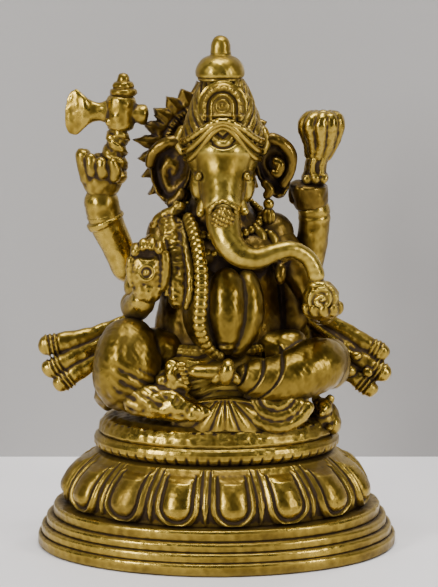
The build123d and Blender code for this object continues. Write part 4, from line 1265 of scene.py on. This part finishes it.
castPiece(
    "shoulderScarf",
    [
        tube([(-8.6, -1.2, 64.6, 2.3, 1.6), (-8.6, -4.4, 62.0, 2.3, 1.5), (-7.8, -7.0, 58.0, 2.0, 1.3),
            (-7.2, -8.2, 53.6, 2.1, 1.3), (-7.3, -8.4, 49.8, 1.9, 1.3), (-7.6, -7.8, 47.6, 1.4, 1.0)],
             rows=120, sides=50, side=(0, 1, 0.3)),
        tube([(-6.6, -3.4, 63.6, 0.6), (-5.8, -7.6, 59.6, 0.6), (-5.0, -9.4, 54.6, 0.65),
            (-5.2, -9.7, 50.4, 0.6), (-5.9, -9.0, 47.4, 0.5)], rows=60, sides=20, side=(0, 1, 0.3)),
        tube([(-10.6, -2.4, 63.4, 0.65), (-9.9, -6.6, 59.6, 0.6), (-9.3, -8.6, 54.6, 0.6),
            (-9.3, -8.8, 50.0, 0.6)], rows=60, sides=20, side=(0, 1, 0.3)),
        tube([(-12.4, 1.0, 61.6, 1.0), (-10.6, -1.6, 64.0, 1.2), (-8.0, -2.6, 65.6, 1.1),
            (-6.0, -2.4, 66.8, 0.9)], rows=60, sides=24, side=(0, 1, 0.3)),
    ],
    "chased", ["shoulder_scarf"], voxel=0.18, soften=1, relief=scarfRelief,
)


def beadRing(radius, beads, size, middle, tilt):
    # beads evenly round a tilted ring, threaded on a cord
    around = np.arange(beads) * 2 * np.pi / beads
    spots = np.stack([radius * np.cos(around), radius * np.sin(around), 0 * around],
        1) @ turned((tilt, 0, 0)).T + np.asarray(middle)
    return [blob(spot, (size, size, size), rows=14, sides=18) for spot in spots]


castPiece(
    "pendantNecklace",
    beadRing(7.6, 34, 0.78, (0.9, 0.2, 64.2), 24) + beadRing(9.0, 44, 0.66, (0.9, 0.0, 62.6), 30)
    + [tube([(7.4, -3.6, 62.6, 0.9), (8.6, -4.0, 60.6, 1.1), (8.2, -4.4, 58.4, 0.9)], side=(0, 1, 0)),
        tube([(9.8, -2.8, 61.8, 0.8), (11.0, -3.2, 59.8, 1.0), (10.6, -3.4, 57.8, 0.8)], side=(0, 1, 0))],
    "chased", ["necklace"], skin=0.05,
)

pleat = {"rings": (1.9, 2.75, 3.6), "ringWidth": 0.2, "ringDepth": 0.16, "flat": 0.8}


def pleatTube(path):
    # a finger of cloth whose end carries raised rings, counted back from the tip
    line = smoothLine(path, 90)
    total = np.linalg.norm(np.diff(line[:, :3], axis=0), axis=1).sum()

    def relief(length, angle):
        raised = sum(hill(length, total - ring, pleat["ringWidth"]) for ring in pleat["rings"])
        shadedPolished = 0.03 * np.sin(length * 1.7 + 2 * angle)
        behind = sum(hill(length, total - ring - 0.42, 0.17) for ring in pleat["rings"])
        return pleat["ringDepth"] * (raised - 0.9 * behind) * smoothStep(1.2, 1.6, total - length) + shadedPolished

    flat = [(x, y, z, wide, wide * pleat["flat"]) for x, y, z, wide in path]
    return tube(flat, rows=190, sides=44, side=(0, 1, 0), blunt=(1, 0.8), relief=relief)


castPiece(
    "rightSashEnd",
    [
        pleatTube([(-14.6, 5.0, 44.2, 1.1), (-19.2, 4.6, 42.4, 1.2), (-22.9, 4.2, 40.8, 1.45),
            (-26.0, 3.9, 39.8, 1.7), (-30.0, 3.5, 38.9, 2.0), (-34.8, 3.2, 37.9, 1.9)]),
        pleatTube([(-15.6, 4.9, 41.0, 1.1), (-20.0, 4.3, 39.4, 1.3), (-24.0, 3.7, 37.8, 1.6),
            (-28.0, 3.3, 36.0, 1.9), (-33.9, 2.8, 33.0, 1.8)]),
        pleatTube([(-15.6, 4.7, 38.6, 1.2), (-20.0, 4.0, 36.8, 1.4), (-24.0, 3.4, 35.0, 1.7),
            (-28.0, 2.9, 32.6, 1.9), (-31.6, 2.5, 29.9, 1.7)]),
        tube([(-15.0, 4.8, 42.8, 0.5), (-19.0, 3.6, 41.0, 0.6), (-22.6, 3.0, 39.4, 0.55),
            (-25.6, 2.8, 37.9, 0.4)], rows=60, sides=18, side=(0, 1, 0)),
        blob((-16.6, 5.0, 41.0), (2.6, 1.8, 3.9)),
    ],
    "chased", ["right_sash_end"], voxel=0.19, soften=1, relief=roughSkin(2.4, 0.05, 81),
)
castPiece(
    "leftSashEnd",
    [
        pleatTube([(15.0, 5.0, 46.4, 1.1), (19.6, 4.6, 44.2, 1.3), (24.0, 4.2, 41.8, 1.5),
            (28.4, 3.8, 39.0, 1.8), (33.6, 3.3, 36.2, 1.7)]),
        pleatTube([(15.6, 4.9, 43.0, 1.2), (20.0, 4.4, 40.8, 1.5), (24.4, 3.8, 38.4, 1.8),
            (29.0, 3.3, 35.2, 1.9), (33.9, 2.8, 32.0, 1.7)]),
        pleatTube([(15.6, 4.7, 39.6, 1.3), (20.0, 4.1, 37.0, 1.5), (24.4, 3.5, 34.2, 1.7),
            (28.0, 3.0, 31.4, 1.8), (31.2, 2.6, 28.8, 1.6)]),
        tube([(17.4, 3.6, 43.4, 0.5), (22.0, 2.7, 40.2, 0.6), (26.6, 2.0, 36.8, 0.5)], rows=60, sides=18,
            side=(0, 1, 0)),
        blob((27.2, 1.5, 36.6), (1.1, 0.8, 0.9)), blob((24.6, 1.9, 37.0), (1.2, 0.8, 1.1)),
        blob((26.0, 1.4, 33.6), (1.3, 0.9, 1.1)), blob((29.4, 1.2, 33.4), (1.0, 0.8, 1.0)),
        blob((16.8, 5.0, 42.0), (2.6, 1.8, 4.6)),
    ],
    "chased", ["left_sash_end"], voxel=0.19, soften=1, relief=roughSkin(1.9, 0.10, 83),
)
print("arms, ornaments and cloth ends done")

# Room: a pale table, a grey wall close behind, and soft studio lights

room = {"table": (0.80, 0.775, 0.775), "wall": (0.37, 0.36, 0.355), "wallBehind": 0.070, "world": 0.07,
    "backdrop": 0.42}


def flatSheet(name, corners, color, roughness, oneSided=False):
    # a one-sided sheet shows only its front, and casts no shadow
    mesh = bpy.data.meshes.new(name)
    mesh.from_pydata(corners, [], [(0, 1, 2, 3)])
    sheet = bpy.data.objects.new(name, mesh)
    bpy.context.scene.collection.objects.link(sheet)
    material = bpy.data.materials.new(name)
    material.use_nodes = True
    shader = material.node_tree.nodes["Principled BSDF"]
    shader.inputs["Base Color"].default_value = (*color, 1)
    shader.inputs["Roughness"].default_value = roughness
    mesh.materials.append(material)
    if oneSided:
        nodes, links = material.node_tree.nodes, material.node_tree.links
        clear, mix, either = (nodes.new("ShaderNode" + kind) for kind in ("BsdfTransparent", "MixShader",
            "Math"))
        either.operation = "MAXIMUM"
        links.new(nodes.new("ShaderNodeNewGeometry").outputs["Backfacing"], either.inputs[0])
        links.new(nodes.new("ShaderNodeLightPath").outputs["Is Shadow Ray"], either.inputs[1])
        links.new(either.outputs[0], mix.inputs["Fac"])
        links.new(shader.outputs["BSDF"], mix.inputs[1])
        links.new(clear.outputs["BSDF"], mix.inputs[2])
        links.new(mix.outputs["Shader"], nodes["Material Output"].inputs["Surface"])
    sheet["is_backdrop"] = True


tableLevel = cadLow[2] - 0.00005
back = room["wallBehind"]
flatSheet("table", [(-0.9, -0.9, tableLevel), (0.9, -0.9, tableLevel), (0.9, 0.9, tableLevel),
    (-0.9, 0.9, tableLevel)], room["table"], 0.55)
flatSheet("wall", [(-0.9, back, tableLevel), (0.9, back, tableLevel), (0.9, back, 0.6), (-0.9, back, 0.6)],
    room["wall"], 0.8, oneSided=True)

world = bpy.data.worlds.new("studio")
world.use_nodes = True
# the room is dim to the brass, and a pale grey backdrop where it shows past the table
sky, links = world.node_tree.nodes, world.node_tree.links
sky["Background"].inputs["Color"].default_value = (0.95, 0.97, 1.0, 1)
level = sky.new("ShaderNodeMapRange")
level.inputs["To Min"].default_value, level.inputs["To Max"].default_value = room["world"], room["backdrop"]
links.new(sky.new("ShaderNodeLightPath").outputs["Is Camera Ray"], level.inputs["Value"])
links.new(level.outputs["Result"], sky["Background"].inputs["Strength"])
bpy.context.scene.world = world

aim = np.array([0.0, 0.0, 0.048])


def aimed(thing, place, target):
    direction = unit(np.asarray(target, float) - np.asarray(place, float))
    sideways = unit(np.cross(direction, [0, 0, 1.0]))
    up = np.cross(sideways, direction)
    turn = np.stack([sideways, up, -direction], axis=1)
    matrix = np.eye(4)
    matrix[:3, :3], matrix[:3, 3] = turn, place
    thing.matrix_world = Matrix(matrix.tolist())


def softLight(name, place, width, height, power, color):
    lamp = bpy.data.lights.new(name, "AREA")
    lamp.shape, lamp.size, lamp.size_y = "RECTANGLE", width, height
    lamp.energy, lamp.color = power, color
    light = bpy.data.objects.new(name, lamp)
    bpy.context.scene.collection.objects.link(light)
    aimed(light, place, aim)


softLight("leftWindow", (-0.42, -0.42, 0.26), 0.07, 0.30, 3.2, (1.0, 0.99, 0.96))
softLight("rightWindow", (0.46, -0.36, 0.24), 0.07, 0.30, 1.9, (1.0, 0.98, 0.95))
softLight("backWindow", (0.34, 0.46, 0.30), 0.12, 0.30, 1.6, (1.0, 1.0, 1.0))
softLight("ceiling", (0.02, -0.06, 0.62), 0.34, 0.24, 3.9, (1.0, 1.0, 1.0))

lens = {"place": (0.0, -0.450, 0.125), "focal": 145.0, "shift": (0.0043, 0.0097)}
camera = bpy.data.objects.new("camera", bpy.data.cameras.new("camera"))
camera.data.lens = lens["focal"]
camera.data.sensor_width = 36.0
camera.data.clip_start = 0.01
camera.data.shift_x, camera.data.shift_y = lens["shift"]
bpy.context.scene.collection.objects.link(camera)
aimed(camera, lens["place"], aim)
bpy.context.scene.camera = camera
print("room, lights and camera ready")
